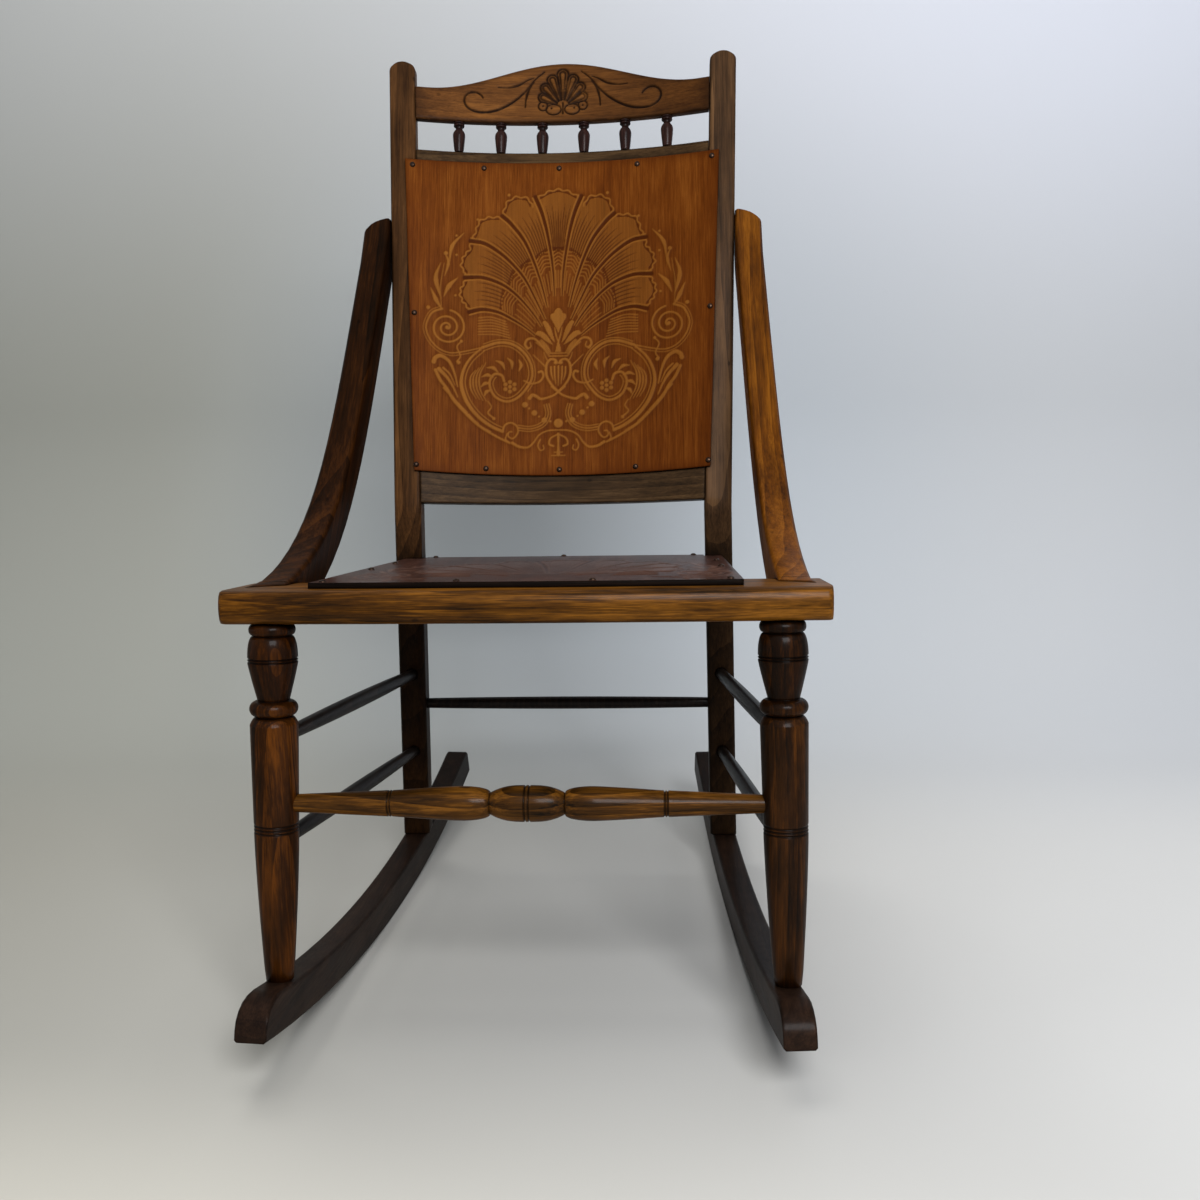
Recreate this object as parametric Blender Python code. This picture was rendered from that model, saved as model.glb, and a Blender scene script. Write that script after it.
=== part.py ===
"""Pressed back rocking chair, modelled piece by piece with its mortises, tenons and sockets.

Metres, +Z up. The chair faces -Y and "left" is the viewer's left (-X). The origin lies on the
floor, half way along the rockers.
"""
import math

import bmesh
import bpy
from mathutils import Matrix, Vector

# Gap left between two pieces that touch
CLEARANCE = 0.0003

# Seat plane: top of the front rail, falling towards the back
SEAT_FRONT_Y = -0.267
SEAT_FRONT_HEIGHT = 0.4175
SEAT_TILT = math.radians(5.3)

# Seat frame
FRONT_RAIL_LENGTH = 0.520
FRONT_RAIL_DEPTH = 0.095
FRONT_RAIL_THICKNESS = 0.029
FRONT_RAIL_BOW = 0.008
FRONT_RAIL_NOSE = 0.010
FRONT_RAIL_NOSE_FULLNESS = 0.6
FRONT_RAIL_END_ROUND = 0.005
SIDE_RAIL_WIDTH = 0.040
SIDE_RAIL_THICKNESS = 0.024
SIDE_TENON_WIDTH = 0.008
SIDE_TENON_HEIGHT = 0.012
SIDE_TENON_LENGTH = 0.013
REAR_RAIL_SETBACK = 0.010
REAR_RAIL_THICKNESS = 0.0155
REAR_RAIL_HEIGHT = 0.040
REAR_TENON_THICKNESS = 0.008
REAR_TENON_LENGTH = 0.012
REAR_TENON_OFFSET = 0.0026

# Seat panel of bent plywood
SEAT_PANEL_POST_LAP = 0.0185
SEAT_PANEL_THICKNESS = 0.005
SEAT_PANEL_INSET = 0.025
SEAT_PANEL_REAR_INSET = 0.004
SEAT_PANEL_NOTCH_GAP = 0.002
SEAT_DISH_DEPTH = 0.007

# Back posts: a straight lower leg and a reclined upper half, joined by a bend
POST_WIDTH = 0.0315
POST_DEPTH = 0.026
POST_TOP_DEPTH = 0.017
POST_EASE = 0.003
POST_BEND_Y = 0.1358
POST_BEND_HEIGHT = 0.4444
POST_BEND_RADIUS = 0.100
POST_LEG_LEAN = math.radians(1.27)
BACK_RECLINE = math.radians(15.1)
POST_SPREAD_FOOT = 0.1900
POST_SPREAD_BEND = 0.1832
POST_SPREAD_TOP = 0.1957
POST_HORN = 0.030
POST_TOP_ROUND_HEIGHT = 0.010
POST_TOP_ROUND_WIDTH = 0.012
POST_TENON_WIDTH = 0.016
POST_TENON_DEPTH = 0.014
POST_TENON_LENGTH = 0.022

# Back assembly: heights are measured along the back from the bend of the posts
BACK_RADIUS = 0.750
LOWER_RAIL_BOTTOM = 0.008
LOWER_RAIL_HEIGHT = 0.066
BACK_RAIL_THICKNESS = 0.014
BACK_PANEL_BOTTOM = 0.046
BACK_PANEL_HEIGHT = 0.382
BACK_PANEL_THICKNESS = 0.004
BACK_PANEL_DROOP = 0.005
BACK_PANEL_LAP_BOTTOM = 0.006
BACK_PANEL_LAP_TOP = 0.012
UPPER_RAIL_REVEAL = 0.0153
UPPER_RAIL_HEIGHT = 0.050
CREST_END_HEIGHT = 0.041
CREST_RISE = 0.034
CREST_OGEE_HALF_LENGTH = 0.165
CREST_THICKNESS = 0.012
CREST_INSET = 0.002
BACK_TENON_LENGTH = 0.016
BACK_TENON_THICKNESS = 0.007
BACK_TENON_SHOULDER = 0.006
BOARD_EASE = 0.0015

# Row of turned spindles under the crest
SPINDLE_COUNT = 6
SPINDLE_SPACING = 0.051
SPINDLE_LENGTH = 0.0385
SPINDLE_PIN_RADIUS = 0.0035
SPINDLE_PIN_LENGTH = 0.008
SPINDLE_COLLAR_RADIUS = 0.0066
SPINDLE_COLLAR_LENGTH = 0.0055
SPINDLE_NECK_RADIUS = 0.0042
SPINDLE_NECK_LENGTH = 0.0035
SPINDLE_BODY_RADIUS = 0.0075
SPINDLE_FOOT_RADIUS = 0.0052
SPINDLE_BELLY_SHARE = 0.72
SPINDLE_FOOT_FULLNESS = 0.7
SPINDLE_SHOULDER_FULLNESS = 2.2

# Arms: sawn boards that sweep from the posts down to the front rail
ARM_TOP_HEIGHT = 0.356
ARM_TOP_ANGLE = math.radians(36)
ARM_TOP_REACH = 0.280
ARM_BELLY_Y = 0.000
ARM_BELLY_RISE = 0.041
ARM_TOE_Y = -0.194
ARM_TOE_HEIGHT = 0.003
ARM_THICKNESS = 0.031
ARM_DEPTH = 0.040
ARM_TOE_DEPTH = 0.042
ARM_FOOT_SPREAD = 0.2195
ARM_PAD_LENGTH = 0.040
ARM_CAP_HEIGHT = 0.019
ARM_CAP_TURN = math.radians(75)
ARM_TOE_SHARE = 0.6
ARM_EASE = 0.004

# Front legs
LEG_SPREAD_TOP = 0.2192
LEG_SETBACK = 0.020
LEG_SPREAD_FOOT = 0.2245
LEG_FOOT_Y = -0.279
LEG_TOP_TENON_RADIUS = 0.010
LEG_TOP_TENON_LENGTH = 0.018
LEG_FOOT_TENON_RADIUS = 0.008
LEG_FOOT_TENON_LENGTH = 0.020
LEG_BEAD_RADIUS = 0.0198
LEG_BEAD_LENGTH = 0.0098
LEG_BEAD_GAP = 0.0009
LEG_NECK_RADIUS = 0.0168
LEG_BALL_RADIUS = 0.0213
LEG_BALL_LENGTH = 0.0185
LEG_SCORE_DEPTH = 0.0009
LEG_SCORE_PITCH = 0.0024
LEG_SCORE_COUNT = 2
LEG_CUP_LENGTH = 0.033
LEG_CUP_RADIUS = 0.0137
LEG_CUP_FULLNESS = 1.1
LEG_TORUS_RADIUS = 0.0207
LEG_TORUS_LENGTH = 0.014
LEG_COVE_LENGTH = 0.007
LEG_COVE_RADIUS = 0.0160
LEG_COVE_FULLNESS = 0.6
LEG_SHAFT_RADIUS = 0.0206
LEG_SHAFT_LENGTH = 0.087
LEG_RING_RADIUS = 0.0192
LEG_RING_PITCH = 0.0030
LEG_RING_COUNT = 3
LEG_ANKLE_RADIUS = 0.0131
LEG_ANKLE_HEIGHT = 0.012
LEG_FOOT_RADIUS = 0.0114
LEG_FOOT_FULLNESS = 1.35

# Front stretcher, turned symmetrically about its middle
FRONT_STRETCHER_DROP = 0.159
FRONT_STRETCHER_SOCKET = 0.013
FRONT_STRETCHER_END_RADIUS = 0.0080
FRONT_STRETCHER_SCORE_X = 0.120
FRONT_STRETCHER_SCORE_RADIUS = 0.0114
FRONT_STRETCHER_LOBE_X = 0.057
FRONT_STRETCHER_LOBE_RADIUS = 0.0149
FRONT_STRETCHER_WAIST_X = 0.0325
FRONT_STRETCHER_WAIST_RADIUS = 0.0096
FRONT_STRETCHER_MIDDLE_RADIUS = 0.0158
FRONT_STRETCHER_MIDDLE_FULLNESS = 2.6
FRONT_STRETCHER_LOBE_FULLNESS = 1.25

# Plain stretchers at the sides and the back
SIDE_STRETCHER_FRONT_DROPS = {"upper": 0.103, "lower": 0.196}
SIDE_STRETCHER_REAR_HEIGHTS = {"upper": 0.244, "lower": 0.148}
SIDE_STRETCHER_RADIUS = 0.0080
SIDE_STRETCHER_END_RADIUS = 0.0060
SIDE_STRETCHER_SOCKET = 0.012
STRETCHER_SWELL_FULLNESS = 0.8
REAR_STRETCHER_HEIGHT = 0.205
REAR_STRETCHER_RADIUS = 0.0075
REAR_STRETCHER_END_RADIUS = 0.0060
REAR_STRETCHER_SOCKET = 0.012

# Rockers: arcs that roll on the floor; the lowest facet lies under the centre of mass
ROCKER_RADIUS = 1.300
ROCKER_CONTACT_Y = 0.0075
ROCKER_REACH = 0.352
ROCKER_SPREAD_FRONT = 0.2272
ROCKER_SPREAD_REAR = 0.1740
ROCKER_WIDTH = 0.028
ROCKER_DEPTH = 0.036
ROCKER_EASE = 0.002
ROCKER_FACET = 0.032
ROCKER_NOSE_LENGTH = 0.030
ROCKER_NOSE_DEPTH = 0.012
ROCKER_TAIL_LENGTH = 0.010
ROCKER_TAIL_DEPTH = 0.030

# Round headed tacks
TACK_HEAD_RADIUS = 0.0033
TACK_HEAD_HEIGHT = 0.0021
TACK_DOME_TURN = math.radians(63)
TACK_SHANK_RADIUS = 0.0009
TACK_GRIP = 0.0045
BACK_TACK_POST_INSET = 0.0035
BACK_TACK_EDGE_INSET = 0.007
BACK_TACK_SHARES = (0, 0.235, 0.488, 0.752, 1)
SEAT_TACK_SIDE_INSET = 0.0105
SEAT_TACK_FRONT_INSET = 0.0091
SEAT_TACK_REAR_INSET = 0.0056
SEAT_TACK_POST_GAP = 0.014
SEAT_TACK_FRONT_COUNT = 4
SEAT_TACK_REAR_COUNT = 3
SEAT_TACK_SIDE_COUNT = 2

# Facets and stations of the meshes
LEG_SIDES = 14
STRETCHER_SIDES = 12
DOWEL_SIDES = 8
TACK_SIDES = 7
HOLE_SIDES = 6
CREST_STATIONS = 21
BACK_RAIL_STATIONS = 13
BACK_PANEL_ROWS = 5
BACK_PANEL_COLUMNS = 13
SEAT_OPENING_STATIONS = 7
FRONT_RAIL_STATIONS = 9
ARM_STATIONS = 18
SHARP_ANGLE = math.radians(40)

SIDES = {"left": -1, "right": 1}

SEAT_FRAME = (
    Matrix.Translation((0, SEAT_FRONT_Y, SEAT_FRONT_HEIGHT)) @ Matrix.Rotation(-SEAT_TILT, 4, "X")
)
BACK_FRAME = (
    Matrix.Translation((0, POST_BEND_Y, POST_BEND_HEIGHT)) @ Matrix.Rotation(-BACK_RECLINE, 4, "X")
)

# Heights along the back that follow from the sizes above
BACK_PANEL_TOP = BACK_PANEL_BOTTOM + BACK_PANEL_HEIGHT
UPPER_RAIL_TOP = BACK_PANEL_TOP + UPPER_RAIL_REVEAL
CREST_BOTTOM = UPPER_RAIL_TOP + SPINDLE_LENGTH
POST_TOP = CREST_BOTTOM + CREST_END_HEIGHT + POST_HORN


# Materials: colour, roughness, metallic
FINISHES = {
    "post_wood": ((0.110, 0.058, 0.030), 0.38, 0.0),
    "crest_wood": ((0.240, 0.115, 0.042), 0.36, 0.0),
    "spindle_wood": ((0.060, 0.026, 0.015), 0.35, 0.0),
    "back_rail_wood": ((0.130, 0.078, 0.042), 0.40, 0.0),
    "back_panel_ply": ((0.400, 0.150, 0.040), 0.42, 0.0),
    "seat_panel_ply": ((0.110, 0.045, 0.030), 0.30, 0.0),
    "seat_rail_wood": ((0.230, 0.110, 0.038), 0.36, 0.0),
    "arm_wood": ((0.170, 0.072, 0.025), 0.36, 0.0),
    "leg_wood": ((0.140, 0.055, 0.022), 0.34, 0.0),
    "front_stretcher_wood": ((0.210, 0.095, 0.033), 0.34, 0.0),
    "stretcher_wood": ((0.035, 0.022, 0.016), 0.38, 0.0),
    "rocker_wood": ((0.075, 0.033, 0.022), 0.38, 0.0),
    "tack_bronze": ((0.085, 0.055, 0.035), 0.42, 0.9),
}


def material(name):
    found = bpy.data.materials.get(name)
    if found:
        return found
    colour, roughness, metallic = FINISHES[name]
    made = bpy.data.materials.new(name)
    made.use_nodes = True
    shader = made.node_tree.nodes["Principled BSDF"]
    shader.inputs["Base Color"].default_value = (*colour, 1)
    shader.inputs["Roughness"].default_value = roughness
    shader.inputs["Metallic"].default_value = metallic
    made.diffuse_color = (*colour, 1)
    return made


# Mesh builders

def finish_object(name, bm, finish, parent=None, matrix=None):
    """Turn a bmesh into a named object that stands in its parent's frame."""
    bmesh.ops.recalc_face_normals(bm, faces=bm.faces)
    mesh = bpy.data.meshes.new(name)
    bm.to_mesh(mesh)
    bm.free()
    mesh.shade_smooth()
    mesh.set_sharp_from_angle(angle=SHARP_ANGLE)
    piece = bpy.data.objects.new(name, mesh)
    bpy.context.scene.collection.objects.link(piece)
    piece.parent = parent
    if matrix is not None:
        piece.matrix_local = matrix
    if finish:
        mesh.materials.append(material(finish))
    else:
        piece.hide_render = True
        piece.display_type = "WIRE"
    return piece


def add_loft(bm, rings):
    """Skin a row of rings that have the same number of points, and close both ends."""
    loops = [[bm.verts.new(point) for point in ring] for ring in rings]
    count = len(loops[0])
    for near, far in zip(loops, loops[1:]):
        for i in range(count):
            j = (i + 1) % count
            bm.faces.new((near[i], near[j], far[j], far[i]))
    bm.faces.new(loops[0])
    bm.faces.new(loops[-1])


def loft(name, rings, finish, parent=None, matrix=None):
    bm = bmesh.new()
    add_loft(bm, rings)
    return finish_object(name, bm, finish, parent, matrix)


def sheet(name, upper, lower, finish, parent=None):
    """Solid between two grids of points that lie over one another."""
    bm = bmesh.new()
    grids = [[[bm.verts.new(point) for point in row] for row in grid] for grid in (upper, lower)]
    rows = len(upper)
    columns = len(upper[0])
    for grid in grids:
        for i in range(rows - 1):
            for j in range(columns - 1):
                bm.faces.new((grid[i][j], grid[i][j + 1], grid[i + 1][j + 1], grid[i + 1][j]))
    top, bottom = grids
    rim = [(0, j) for j in range(columns)]
    rim += [(i, columns - 1) for i in range(1, rows)]
    rim += [(rows - 1, j) for j in range(columns - 2, -1, -1)]
    rim += [(i, 0) for i in range(rows - 2, 0, -1)]
    for (i, j), (k, m) in zip(rim, rim[1:] + rim[:1]):
        bm.faces.new((top[i][j], top[k][m], bottom[k][m], bottom[i][j]))
    return finish_object(name, bm, finish, parent)


def circle(radius, height, sides):
    step = math.tau / sides
    return [
        Vector((radius * math.cos(i * step), radius * math.sin(i * step), height)) for i in range(sides)
    ]


def eased_rectangle(low_u, high_u, low_v, high_v, ease):
    """Eight corner points of a rectangle whose corners are cut by the ease."""
    return [
        (low_u + ease, low_v),
        (high_u - ease, low_v),
        (high_u, low_v + ease),
        (high_u, high_v - ease),
        (high_u - ease, high_v),
        (low_u + ease, high_v),
        (low_u, high_v - ease),
        (low_u, low_v + ease),
    ]


def spread(low, high, count):
    """Evenly spaced numbers from low to high, both included."""
    return [low + (high - low) * i / (count - 1) for i in range(count)]


def cut(target, cutter):
    modifier = target.modifiers.new(cutter.name, "BOOLEAN")
    modifier.operation = "DIFFERENCE"
    modifier.object = cutter


def axis_matrix(start, end):
    """Frame at start whose Z axis points at end."""
    return Matrix.Translation(start) @ (end - start).to_track_quat("Z", "Y").to_matrix().to_4x4()


def bore(target, name, start, end, radius, sides):
    """Round socket from start to end, a clearance wider and deeper than what goes in."""
    length = (end - start).length + CLEARANCE
    grown = (radius + CLEARANCE) / math.cos(math.pi / sides)
    rings = [circle(grown, 0, sides), circle(grown, length, sides)]
    cut(target, loft(name, rings, None, matrix=axis_matrix(start, end)))


# Turned profiles: lists of (distance, radius)

def bead(start, length, root, crown, steps=5):
    """Half round bead that swells from the root to the crown."""
    points = []
    for i in range(steps + 1):
        turn = math.pi * i / steps
        along = start + length * (1 - math.cos(turn)) / 2
        points.append((along, root + (crown - root) * math.sin(turn)))
    return points


def scores(start, pitch, count, radius, depth):
    """Scored lines: narrow grooves side by side."""
    points = []
    for i in range(count):
        line = start + pitch * i
        points += [(line, radius), (line + pitch / 2, radius - depth)]
    points.append((start + pitch * count, radius))
    return points


def ease_between(start, end, root, crown, steps, bulge):
    """Swelling between two radii: bulge 1 is a straight taper, less than 1 is fuller at the start."""
    points = []
    for i in range(1, steps + 1):
        share = i / steps
        points.append((start + (end - start) * share, root + (crown - root) * share**bulge))
    return points


def lathe_rings(profile, sides):
    return [circle(radius, along, sides) for along, radius in profile]


# Rockers

ROCKER_ANGLE = math.atan2(ROCKER_SPREAD_FRONT - ROCKER_SPREAD_REAR, 2 * ROCKER_REACH)
ROCKER_CENTRE = math.sqrt(ROCKER_RADIUS**2 - (ROCKER_FACET / 2) ** 2)


def post_front_y(height):
    """Front face of the lower leg of a post at a height above the floor."""
    return POST_BEND_Y - (POST_BEND_HEIGHT - height) * math.tan(POST_LEG_LEAN)


POST_FOOT_PLAN = Vector((POST_SPREAD_FOOT, post_front_y(ROCKER_DEPTH) + POST_DEPTH / 2))


def rocker_spread(y):
    """Half distance between the middles of the rockers."""
    return ROCKER_SPREAD_FRONT - (y + ROCKER_REACH) * math.tan(ROCKER_ANGLE)


def rocker_run(x, y):
    """Distance along the right rocker from its lowest point to a place in plan."""
    offset_x = x - rocker_spread(ROCKER_CONTACT_Y)
    offset_y = y - ROCKER_CONTACT_Y
    return offset_y * math.cos(ROCKER_ANGLE) - offset_x * math.sin(ROCKER_ANGLE)


def rocker_top(x, y):
    """Height of the right rocker's upper surface."""
    run = rocker_run(x, y)
    return ROCKER_CENTRE - math.sqrt((ROCKER_RADIUS - ROCKER_DEPTH) ** 2 - run**2)


def rocker_depth(run, front_run, rear_run):
    """Depth of the board, which rounds off over its nose and its tail."""
    nose = min(1, (run - front_run) / ROCKER_NOSE_LENGTH)
    tail = min(1, (rear_run - run) / ROCKER_TAIL_LENGTH)
    nose_depth = ROCKER_NOSE_DEPTH + (ROCKER_DEPTH - ROCKER_NOSE_DEPTH) * math.sqrt(1 - (1 - nose) ** 2)
    tail_depth = ROCKER_TAIL_DEPTH + (ROCKER_DEPTH - ROCKER_TAIL_DEPTH) * math.sqrt(1 - (1 - tail) ** 2)
    return min(nose_depth, tail_depth)


def rocker_runs(front_run, rear_run):
    """Stations along a rocker: one flat facet on the lowest point, closer steps at nose and tail."""
    facets = int((rear_run - front_run) / ROCKER_FACET) + 1
    middle = [(i + 0.5) * ROCKER_FACET for i in range(-facets, facets)]
    front_end = front_run + ROCKER_NOSE_LENGTH
    rear_end = rear_run - ROCKER_TAIL_LENGTH
    nose = [front_run + ROCKER_NOSE_LENGTH * (1 - math.cos(turn)) for turn in spread(0, math.pi / 2, 6)]
    tail = [rear_run - ROCKER_TAIL_LENGTH * (1 - math.cos(turn)) for turn in spread(math.pi / 2, 0, 4)]
    half_facet = ROCKER_FACET / 2
    middle = [run for run in middle if front_end + half_facet < run < rear_end - half_facet]
    return nose + middle + tail


def rocker_ring(run, depth):
    """Section across a rocker, square to its arc."""
    angle = math.asin(run / ROCKER_RADIUS)
    half = ROCKER_WIDTH / 2
    ring = []
    for across, up in eased_rectangle(-half, half, 0, depth, ROCKER_EASE):
        radius = ROCKER_RADIUS - up
        ring.append(Vector((across, radius * math.sin(angle), ROCKER_CENTRE - radius * math.cos(angle))))
    return ring


def make_rocker(name, side, root):
    front_run = -(ROCKER_REACH + ROCKER_CONTACT_Y) / math.cos(ROCKER_ANGLE)
    rear_run = (ROCKER_REACH - ROCKER_CONTACT_Y) / math.cos(ROCKER_ANGLE)
    runs = rocker_runs(front_run, rear_run)
    rings = [rocker_ring(run, rocker_depth(run, front_run, rear_run)) for run in runs]
    place = Matrix.Translation((side * rocker_spread(ROCKER_CONTACT_Y), ROCKER_CONTACT_Y, 0))
    return loft(name, rings, "rocker_wood", root, place @ Matrix.Rotation(side * ROCKER_ANGLE, 4, "Z"))


# Back posts

def back_point(x, setback, height):
    """World place of a point given in the frame of the back."""
    return BACK_FRAME @ Vector((x, setback, height))


def post_spread(height):
    """Half distance between the middles of the posts, at a height along the post from the bend."""
    if height >= 0:
        return POST_SPREAD_BEND + (POST_SPREAD_TOP - POST_SPREAD_BEND) * height / POST_TOP
    return POST_SPREAD_BEND + (POST_SPREAD_BEND - POST_SPREAD_FOOT) * height / POST_BEND_HEIGHT


def post_inner(height):
    return post_spread(height) - POST_WIDTH / 2


def post_outer(height):
    return post_spread(height) + POST_WIDTH / 2


def post_depth(height):
    """Depth of a post, which thins from the bend to the top."""
    return POST_DEPTH - (POST_DEPTH - POST_TOP_DEPTH) * max(0, height) / POST_TOP


def post_axis(height):
    """Front face point (y, z) and lean of a post at a height along it from the bend."""
    half_turn = (BACK_RECLINE - POST_LEG_LEAN) / 2
    tangent = POST_BEND_RADIUS * math.tan(half_turn)
    bend = Vector((POST_BEND_Y, POST_BEND_HEIGHT))
    leg = Vector((math.sin(POST_LEG_LEAN), math.cos(POST_LEG_LEAN)))
    back = Vector((math.sin(BACK_RECLINE), math.cos(BACK_RECLINE)))
    if height <= -tangent:
        return bend + leg * height, POST_LEG_LEAN
    if height >= tangent:
        return bend + back * height, BACK_RECLINE
    lean = POST_LEG_LEAN + (height + tangent) / tangent * half_turn
    behind = Vector((math.cos(POST_LEG_LEAN), -math.sin(POST_LEG_LEAN)))
    centre = bend - leg * tangent + behind * POST_BEND_RADIUS
    return centre - Vector((math.cos(lean), -math.sin(lean))) * POST_BEND_RADIUS, lean


def post_ring(side, height, low_x, high_x, front, rear, ease):
    """Section across a post; low_x and high_x are measured from its middle."""
    (y, z), lean = post_axis(height)
    middle = post_spread(height)
    ring = []
    for across, depth in eased_rectangle(low_x, high_x, front, rear, ease):
        place = (side * (middle + across), y + depth * math.cos(lean), z - depth * math.sin(lean))
        ring.append(Vector(place))
    return ring


def settle_on_rocker(ring, side):
    """Slide the foot of a post along its lean until it stands on the rocker."""
    settled = []
    for point in ring:
        y = point.y
        for _ in range(4):
            top = rocker_top(side * point.x, y) + CLEARANCE
            y = point.y + (top - point.z) * math.tan(POST_LEG_LEAN)
        settled.append(Vector((point.x, y, top)))
    return settled


def post_foot_height():
    """Height along the post, below the bend, at which it meets the rocker."""
    middle = POST_FOOT_PLAN
    return (rocker_top(middle.x, middle.y) - POST_BEND_HEIGHT) / math.cos(POST_LEG_LEAN)


def post_tenon_rings(side, grow):
    foot = post_foot_height()
    half = POST_TENON_WIDTH / 2 + grow
    front = (POST_DEPTH - POST_TENON_DEPTH) / 2 - grow
    rear = (POST_DEPTH + POST_TENON_DEPTH) / 2 + grow
    bottom = foot - POST_TENON_LENGTH - grow
    return [post_ring(side, height, -half, half, front, rear, POST_EASE / 2) for height in (bottom, foot)]


def make_post(name, side, root):
    half = POST_WIDTH / 2
    tenon_bottom, tenon_top = post_tenon_rings(side, 0)
    foot = post_foot_height()
    tangent = POST_BEND_RADIUS * math.tan((BACK_RECLINE - POST_LEG_LEAN) / 2)
    foot_ring = post_ring(side, foot, -half, half, 0, POST_DEPTH, POST_EASE)
    rings = [tenon_bottom, settle_on_rocker(tenon_top, side), settle_on_rocker(foot_ring, side)]
    for height in spread(-tangent, tangent, 7) + [POST_TOP - POST_TOP_ROUND_HEIGHT]:
        rings.append(post_ring(side, height, -half, half, 0, post_depth(height), POST_EASE))
    for turn in spread(0, math.pi / 2, 6)[1:]:
        height = POST_TOP - POST_TOP_ROUND_HEIGHT * (1 - math.sin(turn))
        narrow = half - POST_TOP_ROUND_WIDTH * (1 - math.cos(turn))
        rings.append(post_ring(side, height, -narrow, narrow, 0, post_depth(height), POST_EASE))
    return loft(name, rings, "post_wood", root)


# Back assembly, modelled in the frame of the back

def panel_half_width(height):
    """Half width of the back panel, which laps on to the posts."""
    share = (height - BACK_PANEL_BOTTOM) / BACK_PANEL_HEIGHT
    lap = BACK_PANEL_LAP_BOTTOM + (BACK_PANEL_LAP_TOP - BACK_PANEL_LAP_BOTTOM) * share
    return post_inner(height) + lap


def hollow(x, half):
    """How far a hollow curve that starts at a half width lies behind its ends."""
    return (half**2 - x**2) / (2 * BACK_RADIUS)


def panel_back(x, height):
    """Back surface of the panel, behind the front faces of the posts."""
    return hollow(x, panel_half_width(height))


def board_rings(bottom, top, front, thickness, columns, grow=0.0):
    """Rings of a hollow board between the posts, with a straight tenon at each end.

    top(x) is the upper edge and front(x, height) is the front face.
    """
    def shoulder(height):
        return post_inner(height) - CLEARANCE

    def section(x_of, share, low, high, near, far, ease):
        ring = []
        for depth, height in eased_rectangle(near, far, low, high, ease):
            x = x_of(height) * share
            bend_x = min(abs(x), shoulder(height))
            ring.append(Vector((x, front(bend_x, height) + depth, height)))
        return ring

    def tenon_end(height):
        return post_inner(height) + BACK_TENON_LENGTH + grow

    end_top = top(shoulder(bottom))
    near = (thickness - BACK_TENON_THICKNESS) / 2 - grow
    far = (thickness + BACK_TENON_THICKNESS) / 2 + grow
    low = bottom + BACK_TENON_SHOULDER - grow
    high = end_top - BACK_TENON_SHOULDER + grow

    def tenon(x_of, share):
        return section(x_of, share, low, high, near, far, BOARD_EASE)

    rings = [tenon(tenon_end, -1), tenon(shoulder, -1)]
    for share in spread(-1, 1, columns):
        high_edge = top(share * shoulder(bottom))
        rings.append(section(shoulder, share, bottom, high_edge, 0, thickness, BOARD_EASE))
    rings += [tenon(shoulder, 1), tenon(tenon_end, 1)]
    return rings


def make_board(name, finish, frame, posts, bottom, top, front, thickness, columns):
    """Board of the back with its tenons, and the mortises that take them."""
    board = loft(name, board_rings(bottom, top, front, thickness, columns), finish, frame)
    grown = board_rings(bottom, top, front, thickness, columns, CLEARANCE)
    ends = {"left": grown[:2], "right": grown[-2:]}
    for side, rings in ends.items():
        mortise = loft(f"{name}_mortise_{side}", rings, None, frame)
        cut(posts[side], mortise)
    return board


def rail_front(x, height):
    return panel_back(x, height) + CLEARANCE


def crest_front(x, height):
    return CREST_INSET + hollow(x, post_inner(height))


def crest_top(x):
    """Ogee upper edge: level ends that sweep up to a crown in the middle."""
    share = min(1, abs(x) / CREST_OGEE_HALF_LENGTH)
    return CREST_BOTTOM + CREST_END_HEIGHT + CREST_RISE * (1 + math.cos(math.pi * share)) / 2


def make_crest(frame, posts):
    return make_board(
        "crest_rail", "crest_wood", frame, posts, CREST_BOTTOM, crest_top, crest_front, CREST_THICKNESS,
        CREST_STATIONS,
    )


def make_upper_rail(frame, posts):
    bottom = UPPER_RAIL_TOP - UPPER_RAIL_HEIGHT
    return make_board(
        "upper_back_rail", "back_rail_wood", frame, posts, bottom, lambda x: UPPER_RAIL_TOP, rail_front,
        BACK_RAIL_THICKNESS, BACK_RAIL_STATIONS,
    )


def make_lower_rail(frame, posts):
    top = LOWER_RAIL_BOTTOM + LOWER_RAIL_HEIGHT
    return make_board(
        "lower_back_rail", "back_rail_wood", frame, posts, LOWER_RAIL_BOTTOM, lambda x: top, rail_front,
        BACK_RAIL_THICKNESS, BACK_RAIL_STATIONS,
    )


def panel_bottom(x):
    """Lower edge of the panel, which droops towards the middle."""
    return BACK_PANEL_BOTTOM - BACK_PANEL_DROOP * (1 - (x / panel_half_width(BACK_PANEL_BOTTOM)) ** 2)


def panel_grid(setback, margin):
    """Grid of points on the panel, moved back by a setback and out past its edges by a margin."""
    grid = []
    for share in spread(0, 1, BACK_PANEL_ROWS):
        half = panel_half_width(BACK_PANEL_BOTTOM + BACK_PANEL_HEIGHT * share) + margin
        row = []
        for x in spread(-half, half, BACK_PANEL_COLUMNS):
            low = panel_bottom(x) - margin
            height = low + (BACK_PANEL_TOP + margin - low) * share
            row.append(Vector((x, panel_back(x, height) + setback, height)))
        grid.append(row)
    return grid


def make_back_panel(frame, posts):
    panel = sheet(
        "back_panel", panel_grid(-BACK_PANEL_THICKNESS, 0), panel_grid(0, 0), "back_panel_ply", frame
    )
    bed = sheet(
        "back_panel_bed", panel_grid(-POST_DEPTH, CLEARANCE), panel_grid(CLEARANCE, CLEARANCE), None, frame
    )
    for post in posts.values():
        cut(post, bed)
    return panel


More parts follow.
